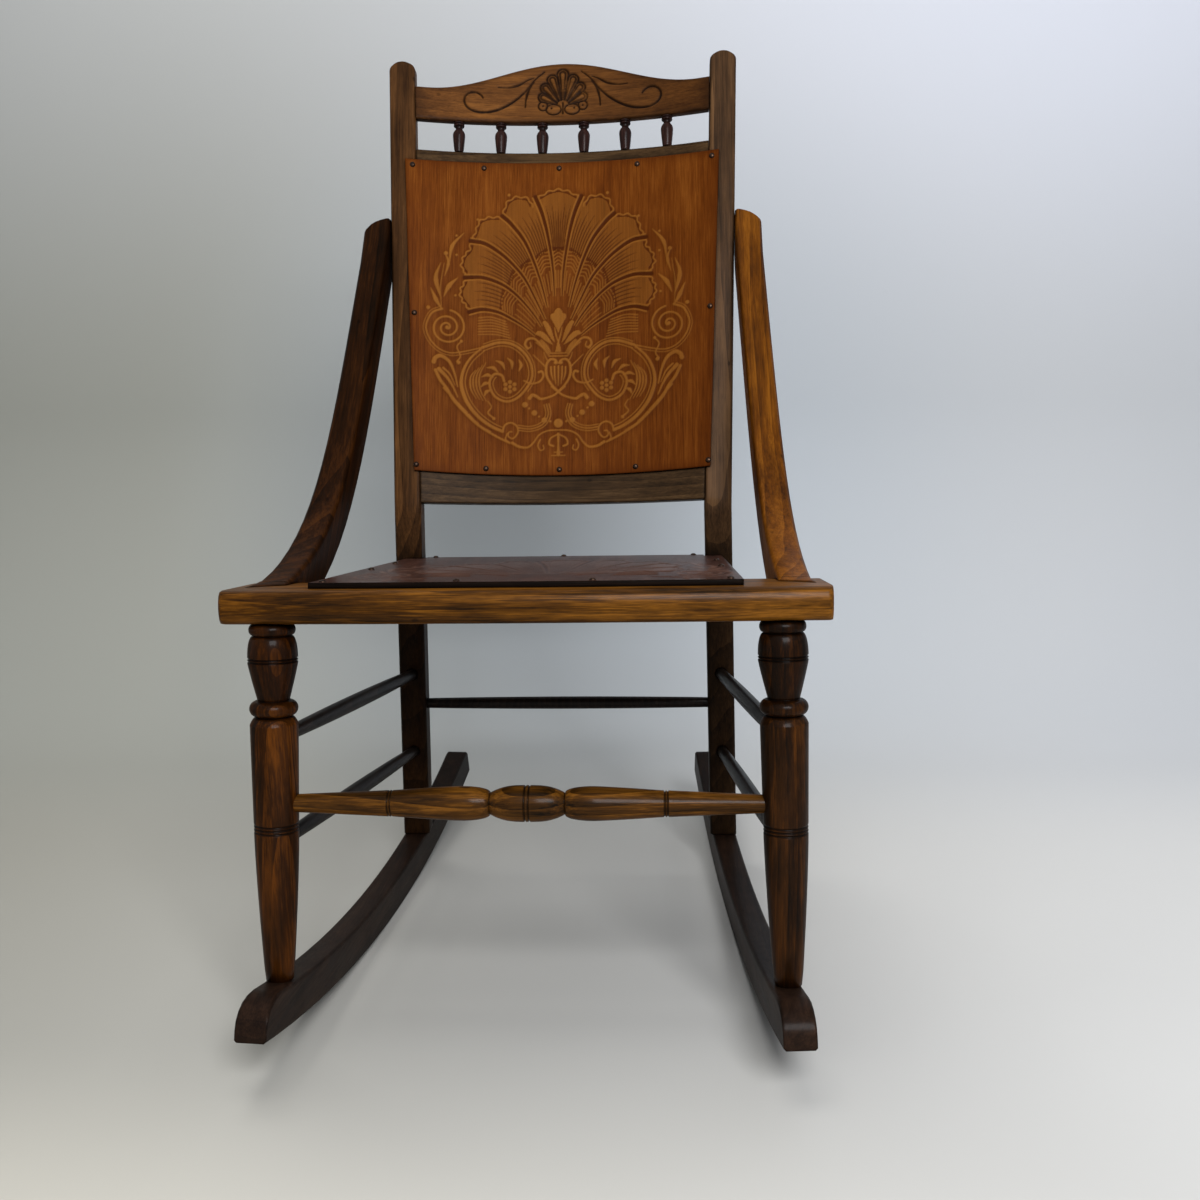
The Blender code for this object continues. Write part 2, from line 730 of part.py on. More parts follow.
def spindle_profile():
    """From the lower pin to the upper pin: foot, body, neck and collar."""
    collar_start = SPINDLE_LENGTH - SPINDLE_COLLAR_LENGTH
    neck = collar_start - SPINDLE_NECK_LENGTH
    belly = neck * SPINDLE_BELLY_SHARE
    profile = [
        (-SPINDLE_PIN_LENGTH, SPINDLE_PIN_RADIUS),
        (CLEARANCE, SPINDLE_PIN_RADIUS),
        (CLEARANCE, SPINDLE_FOOT_RADIUS),
    ]
    foot, body, throat = SPINDLE_FOOT_RADIUS, SPINDLE_BODY_RADIUS, SPINDLE_NECK_RADIUS
    profile += ease_between(CLEARANCE, belly, foot, body, 2, SPINDLE_FOOT_FULLNESS)
    profile += ease_between(belly, neck, body, throat, 2, SPINDLE_SHOULDER_FULLNESS)
    collar = SPINDLE_COLLAR_LENGTH - CLEARANCE
    profile += bead(collar_start, collar, throat, SPINDLE_COLLAR_RADIUS, 4)
    profile += [
        (SPINDLE_LENGTH - CLEARANCE, SPINDLE_PIN_RADIUS),
        (SPINDLE_LENGTH + SPINDLE_PIN_LENGTH, SPINDLE_PIN_RADIUS),
    ]
    return profile


def make_spindles(frame, crest, rail):
    for i in range(SPINDLE_COUNT):
        x = (i - (SPINDLE_COUNT - 1) / 2) * SPINDLE_SPACING
        setback = crest_front(x, CREST_BOTTOM) + CREST_THICKNESS / 2
        place = Matrix.Translation((x, setback, UPPER_RAIL_TOP))
        name = f"back_spindle_{i + 1}"
        loft(name, lathe_rings(spindle_profile(), DOWEL_SIDES), "spindle_wood", frame, place)
        for target, label, low, high in (
            (rail, "lower", -SPINDLE_PIN_LENGTH, CLEARANCE * 2),
            (crest, "upper", SPINDLE_LENGTH - CLEARANCE * 2, SPINDLE_LENGTH + SPINDLE_PIN_LENGTH),
        ):
            start = back_point(x, setback, UPPER_RAIL_TOP + (high if label == "lower" else low))
            end = back_point(x, setback, UPPER_RAIL_TOP + (low if label == "lower" else high))
            bore(target, f"{name}_socket_{label}", start, end, SPINDLE_PIN_RADIUS, DOWEL_SIDES)


# Seat, modelled in the frame of the seat plane

def seat_point(x, depth, rise):
    """World place of a point given in the frame of the seat."""
    return SEAT_FRAME @ Vector((x, depth, rise))


def seat_height(y):
    """Height of the seat plane above a place on the floor."""
    return SEAT_FRONT_HEIGHT - (y - SEAT_FRONT_Y) * math.tan(SEAT_TILT)


def bow(x):
    """Forward swell of the front rail."""
    return FRONT_RAIL_BOW * (1 - (2 * x / FRONT_RAIL_LENGTH) ** 2)


def post_front_depth():
    """Depth on the seat plane at which the posts' front faces stand."""
    guess = POST_BEND_Y - SEAT_FRONT_Y
    for _ in range(5):
        y = post_front_y(SEAT_FRAME.translation.z - guess * math.sin(SEAT_TILT))
        guess = (y - SEAT_FRONT_Y) / math.cos(SEAT_TILT)
    return guess


POST_FRONT = post_front_depth()
SEAT_ON_POST = -(POST_BEND_HEIGHT - seat_point(0, POST_FRONT, 0).z) / math.cos(POST_LEG_LEAN)
SEAT_PANEL_HALF = post_inner(SEAT_ON_POST) + SEAT_PANEL_POST_LAP


def front_rail_ring(x, shrink):
    """Bull-nosed section of the front rail; shrink draws the ends in."""
    half = FRONT_RAIL_THICKNESS / 2
    front = -bow(x) + shrink
    rear = FRONT_RAIL_DEPTH - shrink / 4
    ring = [Vector((x, rear, -FRONT_RAIL_THICKNESS)), Vector((x, rear, 0))]
    for turn in spread(math.pi / 2, -math.pi / 2, 9):
        reach = max(0.0, math.cos(turn)) ** FRONT_RAIL_NOSE_FULLNESS
        depth = front + FRONT_RAIL_NOSE * (1 - reach)
        ring.append(Vector((x, depth, half * math.sin(turn) - half)))
    return ring


def make_front_rail(frame):
    half = FRONT_RAIL_LENGTH / 2
    rings = []
    inner = half - FRONT_RAIL_END_ROUND
    for turn in spread(math.pi / 2, 0, 4)[:-1]:
        x = inner + FRONT_RAIL_END_ROUND * math.sin(turn)
        rings.append(front_rail_ring(-x, FRONT_RAIL_END_ROUND * (1 - math.cos(turn))))
    rings += [front_rail_ring(x, 0) for x in spread(-inner, inner, FRONT_RAIL_STATIONS)]
    for turn in spread(0, math.pi / 2, 4)[1:]:
        x = inner + FRONT_RAIL_END_ROUND * math.sin(turn)
        rings.append(front_rail_ring(x, FRONT_RAIL_END_ROUND * (1 - math.cos(turn))))
    return loft("seat_front_rail", rings, "seat_rail_wood", frame)


def side_rail_ring(side, x_low, x_high, depth, rise_low, rise_high):
    return [
        Vector((side * x, depth, rise))
        for x, rise in eased_rectangle(x_low, x_high, rise_low, rise_high, BOARD_EASE)
    ]


def side_tenon(grow):
    """Limits of the tenons of a side rail: x and rise at the front and at the post."""
    outer = SEAT_PANEL_HALF
    half = SIDE_TENON_WIDTH / 2 + grow
    front_middle = outer - SIDE_RAIL_WIDTH / 2
    rear_middle = (post_inner(SEAT_ON_POST) + outer) / 2
    middle_rise = -SIDE_RAIL_THICKNESS / 2
    low = middle_rise - SIDE_TENON_HEIGHT / 2 - grow
    high = middle_rise + SIDE_TENON_HEIGHT / 2 + grow
    return (front_middle - half, front_middle + half), (rear_middle - half, rear_middle + half), (low, high)


def make_side_rail(name, side, frame, front_rail, post):
    outer = SEAT_PANEL_HALF
    inner = outer - SIDE_RAIL_WIDTH
    start = FRONT_RAIL_DEPTH + CLEARANCE
    lean = SEAT_TILT + POST_LEG_LEAN
    end = POST_FRONT - CLEARANCE - SIDE_RAIL_THICKNESS * math.tan(lean)
    front, rear, rise = side_tenon(0)
    rings = [
        side_rail_ring(side, *front, FRONT_RAIL_DEPTH - SIDE_TENON_LENGTH, *rise),
        side_rail_ring(side, *front, start, *rise),
        side_rail_ring(side, inner, outer, start, -SIDE_RAIL_THICKNESS, 0),
        side_rail_ring(side, inner, outer, end, -SIDE_RAIL_THICKNESS, 0),
        side_rail_ring(side, *rear, end, *rise),
        side_rail_ring(side, *rear, POST_FRONT + SIDE_TENON_LENGTH, *rise),
    ]
    rail = loft(name, rings, "seat_rail_wood", frame)
    front, rear, rise = side_tenon(CLEARANCE)
    front_depths = (FRONT_RAIL_DEPTH - SIDE_TENON_LENGTH - CLEARANCE, FRONT_RAIL_DEPTH + SIDE_TENON_LENGTH)
    rear_depths = (POST_FRONT - SIDE_TENON_LENGTH, POST_FRONT + SIDE_TENON_LENGTH + CLEARANCE)
    for target, label, span, depths in (
        (front_rail, "front", front, front_depths),
        (post, "rear", rear, rear_depths),
    ):
        mortise = [side_rail_ring(side, *span, depth, *rise) for depth in depths]
        cut(target, loft(f"{name}_mortise_{label}", mortise, None, frame))
    return rail


def rear_rail_ring(x, near, far, low, high):
    return [Vector((x, depth, rise)) for depth, rise in eased_rectangle(near, far, low, high, BOARD_EASE)]


def make_rear_rail(frame, posts):
    near = POST_FRONT + REAR_RAIL_SETBACK
    far = near + REAR_RAIL_THICKNESS
    shoulder = post_inner(SEAT_ON_POST) - CLEARANCE
    tip = post_inner(SEAT_ON_POST) + REAR_TENON_LENGTH
    middle = (near + far) / 2 + REAR_TENON_OFFSET

    def tenon(x, grow):
        half = REAR_TENON_THICKNESS / 2 + grow
        low = -REAR_RAIL_HEIGHT + BACK_TENON_SHOULDER - grow
        high = -BACK_TENON_SHOULDER + grow
        return rear_rail_ring(x, middle - half, middle + half, low, high)

    rings = [tenon(-tip, 0), tenon(-shoulder, 0)]
    rings += [rear_rail_ring(x, near, far, -REAR_RAIL_HEIGHT, 0) for x in (-shoulder, shoulder)]
    rings += [tenon(shoulder, 0), tenon(tip, 0)]
    rail = loft("seat_rear_rail", rings, "seat_rail_wood", frame)
    for side, sign in SIDES.items():
        root = sign * (shoulder - REAR_TENON_LENGTH)
        end = sign * (tip + CLEARANCE)
        mortise = [tenon(x, CLEARANCE) for x in (root, end)]
        cut(posts[side], loft(f"seat_rear_rail_mortise_{side}", mortise, None, frame))
    return rail


def seat_panel_rear():
    return POST_FRONT + REAR_RAIL_SETBACK + REAR_RAIL_THICKNESS - SEAT_PANEL_REAR_INSET


def seat_dish(x, depth):
    """Shallow dish of the panel inside the seat frame."""
    opening_half = SEAT_PANEL_HALF - SIDE_RAIL_WIDTH
    opening_middle = (FRONT_RAIL_DEPTH + POST_FRONT) / 2
    opening_reach = (POST_FRONT - FRONT_RAIL_DEPTH) / 2
    across = min(1, abs(x) / opening_half)
    along = min(1, abs(depth - opening_middle) / opening_reach)
    return SEAT_DISH_DEPTH * (1 - across**2) ** 2 * (1 - along**2) ** 2


def make_seat_panel(frame):
    half = SEAT_PANEL_HALF
    rear = seat_panel_rear()
    opening = half - SIDE_RAIL_WIDTH
    columns = [-half] + spread(-opening, opening, SEAT_OPENING_STATIONS) + [half]
    upper, lower = [], []
    opening_rows = spread(FRONT_RAIL_DEPTH, POST_FRONT, SEAT_OPENING_STATIONS)
    for row in [SEAT_PANEL_INSET] + opening_rows + [rear]:
        tops, bottoms = [], []
        for x in columns:
            depth = row - bow(x) if row == SEAT_PANEL_INSET else row
            rise = CLEARANCE - seat_dish(x, depth)
            tops.append(Vector((x, depth, rise + SEAT_PANEL_THICKNESS)))
            bottoms.append(Vector((x, depth, rise)))
        upper.append(tops)
        lower.append(bottoms)
    panel = sheet("seat_panel", upper, lower, "seat_panel_ply", frame)
    inner = post_inner(SEAT_ON_POST) - SEAT_PANEL_NOTCH_GAP
    near = POST_FRONT - SEAT_PANEL_NOTCH_GAP
    for side, sign in SIDES.items():
        outline = eased_rectangle(inner, half + POST_WIDTH, near, rear + POST_DEPTH, BOARD_EASE)
        limits = (-POST_DEPTH, POST_DEPTH)
        rings = [[Vector((sign * x, depth, rise)) for x, depth in outline] for rise in limits]
        cut(panel, loft(f"seat_panel_notch_{side}", rings, None, frame))
    return panel


# Arms

def arm_front(share):
    """Cubic sweep of an arm's front edge in side view, from the post to the toe: place and direction."""
    top = back_point(0, 0, ARM_TOP_HEIGHT)
    toe_height = seat_height(ARM_TOE_Y) + ARM_TOE_HEIGHT
    belly_height = seat_height(ARM_BELLY_Y) + ARM_BELLY_RISE
    p0 = Vector((top.y, top.z))
    p1 = p0 - ARM_TOP_REACH * Vector((math.sin(ARM_TOP_ANGLE), math.cos(ARM_TOP_ANGLE)))
    p2 = Vector((ARM_BELLY_Y, belly_height))
    p3 = Vector((ARM_TOE_Y, toe_height))
    rest = 1 - share
    place = p0 * rest**3 + p1 * (3 * rest**2 * share) + p2 * (3 * rest * share**2) + p3 * share**3
    along = (p1 - p0) * rest**2 + (p2 - p1) * (2 * rest * share) + (p3 - p2) * share**2
    return place, along.normalized()


def arm_inner(z, top_z):
    """Inner face of an arm: along the post at the top, then out to the foot."""
    pad_end = top_z - ARM_PAD_LENGTH
    pad_height = (max(z, pad_end) - POST_BEND_HEIGHT) / math.cos(BACK_RECLINE)
    on_post = post_outer(pad_height) + CLEARANCE
    if z >= pad_end:
        return on_post
    foot_z = seat_height(ARM_TOE_Y)
    return on_post + (ARM_FOOT_SPREAD - on_post) * (pad_end - z) / (pad_end - foot_z)


def arm_ring(side, share, cap):
    """Section across an arm; cap runs from 0 to 1 over the rounded top end."""
    place, along = arm_front(share)
    behind = Vector((-along.y, along.x))
    if behind.x < 0 and behind.y > 0:
        behind = -behind
    taper = max(0, (share - ARM_TOE_SHARE) / (1 - ARM_TOE_SHARE))
    depth = ARM_DEPTH + (ARM_TOE_DEPTH - ARM_DEPTH) * taper
    width = ARM_THICKNESS * (1 - cap)
    top_z = arm_front(0)[0].y
    ring = []
    ease = min(ARM_EASE, width / 3)
    for across, back in eased_rectangle(0, width, 0, depth, ease):
        point = place + behind * back
        ring.append(Vector((side * (arm_inner(place.y, top_z) + across), point.x, point.y)))
    return ring


def make_arm(name, side, root, seat_frame):
    cap_share = ARM_CAP_HEIGHT / (3 * ARM_TOP_REACH)
    rings = []
    for turn in spread(ARM_CAP_TURN, 0, 6):
        rings.append(arm_ring(side, cap_share * (1 - math.sin(turn)), 1 - math.cos(turn)))
    rings += [arm_ring(side, share, 0) for share in spread(cap_share, 1, ARM_STATIONS)[1:]]
    arm = loft(name, rings, "arm_wood", root)
    reach = FRONT_RAIL_LENGTH
    rear = FRONT_RAIL_DEPTH + CLEARANCE
    section = [
        (-FRONT_RAIL_DEPTH, -FRONT_RAIL_DEPTH),
        (2 * FRONT_RAIL_DEPTH, -FRONT_RAIL_DEPTH),
        (2 * FRONT_RAIL_DEPTH, -FRONT_RAIL_THICKNESS),
        (rear, -FRONT_RAIL_THICKNESS),
        (rear, CLEARANCE),
        (-FRONT_RAIL_DEPTH, CLEARANCE),
    ]
    housing = [[Vector((x, depth, rise)) for depth, rise in section] for x in (-reach, reach)]
    cut(arm, loft(f"{name}_seat_notch", housing, None, seat_frame))
    return arm


# Front legs and stretchers

def leg_ends(side):
    """Top of a leg under the front rail and its foot on the rocker."""
    top = seat_point(side * LEG_SPREAD_TOP, LEG_SETBACK, -FRONT_RAIL_THICKNESS)
    foot_z = rocker_top(LEG_SPREAD_FOOT, LEG_FOOT_Y)
    return top, Vector((side * LEG_SPREAD_FOOT, LEG_FOOT_Y, foot_z))


def leg_point(side, drop):
    """Point on a leg's axis at a distance below the rail."""
    top, foot = leg_ends(side)
    return top + (foot - top).normalized() * drop


def leg_profile(length):
    """Turning of a front leg from its top bead to its ankle."""
    at = LEG_BEAD_LENGTH
    profile = bead(LEG_BEAD_GAP, LEG_BEAD_LENGTH, LEG_NECK_RADIUS, LEG_BEAD_RADIUS, 4)
    ball = bead(at + LEG_BEAD_GAP, LEG_BALL_LENGTH * 2, LEG_NECK_RADIUS, LEG_BALL_RADIUS, 8)
    profile += ball[1:5]
    at += LEG_BALL_LENGTH
    at += LEG_SCORE_PITCH / 2
    profile += scores(at, LEG_SCORE_PITCH, LEG_SCORE_COUNT, LEG_BALL_RADIUS, LEG_SCORE_DEPTH)
    at += LEG_SCORE_PITCH * LEG_SCORE_COUNT
    cup_end = at + LEG_CUP_LENGTH
    profile += ease_between(at, cup_end, LEG_BALL_RADIUS, LEG_CUP_RADIUS, 3, LEG_CUP_FULLNESS)
    at += LEG_CUP_LENGTH
    profile += bead(at, LEG_TORUS_LENGTH, LEG_CUP_RADIUS + LEG_SCORE_DEPTH, LEG_TORUS_RADIUS, 5)[1:]
    at += LEG_TORUS_LENGTH
    cove_end = at + LEG_COVE_LENGTH
    profile += ease_between(at, cove_end, LEG_COVE_RADIUS, LEG_SHAFT_RADIUS, 3, LEG_COVE_FULLNESS)
    at += LEG_COVE_LENGTH + LEG_SHAFT_LENGTH
    profile += scores(at, LEG_RING_PITCH, LEG_RING_COUNT, LEG_RING_RADIUS, LEG_SCORE_DEPTH)
    at += LEG_RING_PITCH * LEG_RING_COUNT
    ankle = length - LEG_ANKLE_HEIGHT
    profile += ease_between(at, ankle, LEG_RING_RADIUS, LEG_ANKLE_RADIUS, 4, LEG_FOOT_FULLNESS)
    return profile


def scribed_circle(radius, sides, point, normal):
    """Circle on the lathe axis whose points slide along the axis until they lie on a plane."""
    ring = []
    for corner in circle(radius, 0, sides):
        along = (normal.dot(point) - normal.x * corner.x - normal.y * corner.y) / normal.z
        ring.append(Vector((corner.x, corner.y, along)))
    return ring


def make_leg(name, side, root, front_rail, rocker):
    top, foot = leg_ends(side)
    place = axis_matrix(top, foot)
    to_leg = place.inverted()
    turn = to_leg.to_3x3()
    length = (foot - top).length
    rail_normal = turn @ (SEAT_FRAME.to_3x3() @ Vector((0, 0, 1)))
    rail_point = Vector((0, 0, CLEARANCE))
    run = rocker_run(LEG_SPREAD_FOOT, LEG_FOOT_Y)
    tilt = math.asin(run / (ROCKER_RADIUS - ROCKER_DEPTH))
    arc_normal = Vector((0, -math.sin(tilt), math.cos(tilt)))
    rocker_normal = turn @ Matrix.Rotation(side * ROCKER_ANGLE, 3, "Z") @ arc_normal
    rocker_point = Vector((0, 0, length - CLEARANCE))

    rings = [circle(LEG_TOP_TENON_RADIUS, -LEG_TOP_TENON_LENGTH, LEG_SIDES)]
    for radius in (LEG_TOP_TENON_RADIUS, LEG_NECK_RADIUS - CLEARANCE):
        rings.append(scribed_circle(radius, LEG_SIDES, rail_point, rail_normal))
    rings += lathe_rings(leg_profile(length), LEG_SIDES)
    for radius in (LEG_FOOT_RADIUS, LEG_FOOT_TENON_RADIUS):
        rings.append(scribed_circle(radius, LEG_SIDES, rocker_point, rocker_normal))
    rings.append(circle(LEG_FOOT_TENON_RADIUS, length + LEG_FOOT_TENON_LENGTH, LEG_SIDES))
    leg = loft(name, rings, "leg_wood", root, place)

    axis = (foot - top).normalized()
    bore(
        front_rail, f"{name}_socket_rail", top + axis * LEG_TOP_TENON_LENGTH,
        top - axis * LEG_TOP_TENON_LENGTH, LEG_TOP_TENON_RADIUS, LEG_SIDES,
    )
    bore(
        rocker, f"{name}_socket_rocker", foot - axis * LEG_FOOT_TENON_LENGTH,
        foot + axis * LEG_FOOT_TENON_LENGTH, LEG_FOOT_TENON_RADIUS, LEG_SIDES,
    )
    return leg


def front_stretcher_half(length):
    """Profile from the middle of the front stretcher to its end."""
    pitch = LEG_SCORE_PITCH
    middle = FRONT_STRETCHER_MIDDLE_RADIUS
    waist = FRONT_STRETCHER_WAIST_RADIUS
    lobe = FRONT_STRETCHER_LOBE_RADIUS
    score = FRONT_STRETCHER_SCORE_RADIUS
    profile = [(0, middle), (pitch / 2, middle - LEG_SCORE_DEPTH), (pitch, middle)]
    waist_x = FRONT_STRETCHER_WAIST_X
    profile += ease_between(pitch, waist_x, middle, waist, 4, FRONT_STRETCHER_MIDDLE_FULLNESS)
    swell = FRONT_STRETCHER_LOBE_X - waist_x
    for turn in spread(0, math.pi / 2, 5)[1:]:
        along = waist_x + swell * (1 - math.cos(turn))
        profile.append((along, waist + (lobe - waist) * math.sin(turn)))
    rings = FRONT_STRETCHER_SCORE_X - pitch
    profile += ease_between(FRONT_STRETCHER_LOBE_X, rings, lobe, score, 3, FRONT_STRETCHER_LOBE_FULLNESS)
    profile += scores(rings, pitch, LEG_SCORE_COUNT, score, LEG_SCORE_DEPTH)[1:]
    profile.append((length, FRONT_STRETCHER_END_RADIUS))
    return profile


def make_front_stretcher(root, legs):
    left = leg_point(-1, FRONT_STRETCHER_DROP)
    right = leg_point(1, FRONT_STRETCHER_DROP)
    half = (right - left).length / 2
    tip = half - LEG_SHAFT_RADIUS + FRONT_STRETCHER_SOCKET
    outward = front_stretcher_half(half - LEG_SHAFT_RADIUS)
    outward.append((tip, FRONT_STRETCHER_END_RADIUS))
    profile = [(-along, radius) for along, radius in reversed(outward[1:])] + outward
    middle = (left + right) / 2
    rings = lathe_rings(profile, STRETCHER_SIDES)
    loft("front_stretcher", rings, "front_stretcher_wood", root, axis_matrix(middle, right))
    for side, sign in SIDES.items():
        out = Vector((sign, 0, 0))
        start = middle + out * (half - LEG_SHAFT_RADIUS * 1.5)
        bore(
            legs[side], f"front_stretcher_socket_{side}", start, middle + out * tip,
            FRONT_STRETCHER_END_RADIUS, STRETCHER_SIDES,
        )


def dowel_profile(length, end_radius, radius, socket):
    """Plain stretcher: parallel in its sockets and swelling gently between them."""
    profile = [(-socket, end_radius)]
    for share in spread(0, 1, 7):
        swell = math.sin(math.pi * share) ** STRETCHER_SWELL_FULLNESS
        profile.append((length * share, end_radius + (radius - end_radius) * swell))
    profile.append((length + socket, end_radius))
    return profile


def make_dowel(name, root, start, end, sizes, sockets):
    """Stretcher between two surface points, with a socket at each end."""
    end_radius, radius, socket = sizes
    length = (end - start).length
    rings = lathe_rings(dowel_profile(length, end_radius, radius, socket), DOWEL_SIDES)
    loft(name, rings, "stretcher_wood", root, axis_matrix(start, end))
    axis = (end - start).normalized()
    first, second = sockets
    into = axis * socket
    bore(first, f"{name}_socket_start", start + into, start - into, end_radius, DOWEL_SIDES)
    bore(second, f"{name}_socket_end", end - into, end + into, end_radius, DOWEL_SIDES)


def make_side_stretchers(root, legs, posts):
    sizes = (SIDE_STRETCHER_END_RADIUS, SIDE_STRETCHER_RADIUS, SIDE_STRETCHER_SOCKET)
    for level, drop in SIDE_STRETCHER_FRONT_DROPS.items():
        height = SIDE_STRETCHER_REAR_HEIGHTS[level]
        along_post = (height - POST_BEND_HEIGHT) / math.cos(POST_LEG_LEAN)
        for side, sign in SIDES.items():
            axis_end = leg_point(sign, drop)
            end = Vector((sign * post_spread(along_post), post_front_y(height), height))
            start = axis_end + (end - axis_end).normalized() * LEG_SHAFT_RADIUS
            make_dowel(f"side_stretcher_{level}_{side}", root, start, end, sizes, (legs[side], posts[side]))


def make_rear_stretcher(root, posts):
    sizes = (REAR_STRETCHER_END_RADIUS, REAR_STRETCHER_RADIUS, REAR_STRETCHER_SOCKET)
    along_post = (REAR_STRETCHER_HEIGHT - POST_BEND_HEIGHT) / math.cos(POST_LEG_LEAN)
    y = post_front_y(REAR_STRETCHER_HEIGHT) + POST_DEPTH / 2
    ends = [Vector((sign * post_inner(along_post), y, REAR_STRETCHER_HEIGHT)) for sign in SIDES.values()]
    make_dowel("rear_stretcher", root, *ends, sizes, (posts["left"], posts["right"]))


# Tacks

def tack_rings(panel_thickness):
    """Domed head over a short shank; the axis points out of the panel and 0 is its surface."""
    tip = -panel_thickness - TACK_GRIP
    rings = [
        circle(TACK_SHANK_RADIUS / 2, tip, TACK_SIDES),
        circle(TACK_SHANK_RADIUS, CLEARANCE, TACK_SIDES),
    ]
    for turn in spread(0, TACK_DOME_TURN, 3):
        height = CLEARANCE + TACK_HEAD_HEIGHT * math.sin(turn)
        rings.append(circle(TACK_HEAD_RADIUS * math.cos(turn), height, TACK_SIDES))
    return rings


def drive_tacks(name, places, panel_thickness, frame, targets):
    """One tack for each place, and one set of holes for all the pieces that they pass."""
    holes = bmesh.new()
    radius = (TACK_SHANK_RADIUS + CLEARANCE) / math.cos(math.pi / HOLE_SIDES)
    tip = -panel_thickness - TACK_GRIP - CLEARANCE
    for i, place in enumerate(places):
        loft(f"{name}_{i + 1}", tack_rings(panel_thickness), "tack_bronze", frame, place)
        rings = [circle(radius, height, HOLE_SIDES) for height in (tip, TACK_HEAD_HEIGHT)]
        add_loft(holes, [[place @ point for point in ring] for ring in rings])
    cutter = finish_object(f"{name}_holes", holes, None, frame)
    for target in targets:
        cut(target, cutter)


def back_tack_place(x, height):
    """Frame of a tack on the front of the back panel, square to its curve."""
    surface = panel_back(x, height) - BACK_PANEL_THICKNESS
    normal = Vector((-x / BACK_RADIUS, -1, 0))
    turn = normal.to_track_quat("Z", "Y").to_matrix().to_4x4()
    return Matrix.Translation((x, surface, height)) @ turn


def make_back_tacks(frame, targets):
    low = BACK_PANEL_BOTTOM + BACK_TACK_EDGE_INSET
    high = BACK_PANEL_TOP - BACK_TACK_EDGE_INSET
    places = []
    for height in (high, low):
        edge = post_inner(height) + BACK_TACK_POST_INSET
        for share in BACK_TACK_SHARES:
            x = edge * (2 * share - 1)
            droop = BACK_PANEL_BOTTOM - panel_bottom(x) if height == low else 0
            places.append(back_tack_place(x, height - droop))
    middle = (low + high) / 2
    edge = post_inner(middle) + BACK_TACK_POST_INSET
    places += [back_tack_place(x, middle) for x in (-edge, edge)]
    drive_tacks("back_tack", places, BACK_PANEL_THICKNESS, frame, targets)


def make_seat_tacks(frame, targets):
    edge = SEAT_PANEL_HALF - SEAT_TACK_SIDE_INSET
    rear_edge = post_inner(SEAT_ON_POST) - SEAT_TACK_POST_GAP
    rear = seat_panel_rear() - SEAT_TACK_REAR_INSET
    front = SEAT_PANEL_INSET + SEAT_TACK_FRONT_INSET
    spots = [(x, front - bow(x)) for x in spread(-edge, edge, SEAT_TACK_FRONT_COUNT)]
    spots += [(x, rear) for x in spread(-rear_edge, rear_edge, SEAT_TACK_REAR_COUNT)]
    for depth in spread(FRONT_RAIL_DEPTH, POST_FRONT, SEAT_TACK_SIDE_COUNT + 2)[1:-1]:
        spots += [(-edge, depth), (edge, depth)]
    rise = CLEARANCE + SEAT_PANEL_THICKNESS
    places = [Matrix.Translation((x, depth, rise)) for x, depth in spots]
    drive_tacks("seat_tack", places, SEAT_PANEL_THICKNESS, frame, targets)


def frame_empty(name, root, matrix):
    empty = bpy.data.objects.new(name, None)
    bpy.context.scene.collection.objects.link(empty)
    empty.parent = root
    empty.matrix_local = matrix
    return empty


def main():
    for old in list(bpy.data.objects):
        bpy.data.objects.remove(old, do_unlink=True)
    root = frame_empty("rocking_chair", None, Matrix.Identity(4))
    seat = frame_empty("seat_plane", root, SEAT_FRAME)
    back = frame_empty("back_plane", root, BACK_FRAME)

    rockers = {side: make_rocker(f"rocker_{side}", sign, root) for side, sign in SIDES.items()}
    posts = {side: make_post(f"back_post_{side}", sign, root) for side, sign in SIDES.items()}
    for side, sign in SIDES.items():
        grown = post_tenon_rings(sign, CLEARANCE)
        grown[1] = [point + Vector((0, 0, POST_TENON_LENGTH)) for point in grown[1]]
        cut(rockers[side], loft(f"back_post_mortise_{side}", grown, None, root))

    crest = make_crest(back, posts)
    upper_rail = make_upper_rail(back, posts)
    lower_rail = make_lower_rail(back, posts)
    back_panel = make_back_panel(back, posts)
    make_spindles(back, crest, upper_rail)

    front_rail = make_front_rail(seat)
    side_rails = {
        side: make_side_rail(f"seat_side_rail_{side}", sign, seat, front_rail, posts[side])
        for side, sign in SIDES.items()
    }
    rear_rail = make_rear_rail(seat, posts)
    seat_panel = make_seat_panel(seat)
    for side, sign in SIDES.items():
        make_arm(f"arm_{side}", sign, root, seat)

    legs = {
        side: make_leg(f"front_leg_{side}", sign, root, front_rail, rockers[side])
        for side, sign in SIDES.items()
    }
    make_front_stretcher(root, legs)
    make_side_stretchers(root, legs, posts)
    make_rear_stretcher(root, posts)

    make_back_tacks(back, [back_panel, upper_rail, lower_rail, *posts.values()])
    make_seat_tacks(seat, [seat_panel, front_rail, rear_rail, *side_rails.values()])


main()
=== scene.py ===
import math

import bmesh
import bpy
import numpy as np
from mathutils import Matrix, Vector


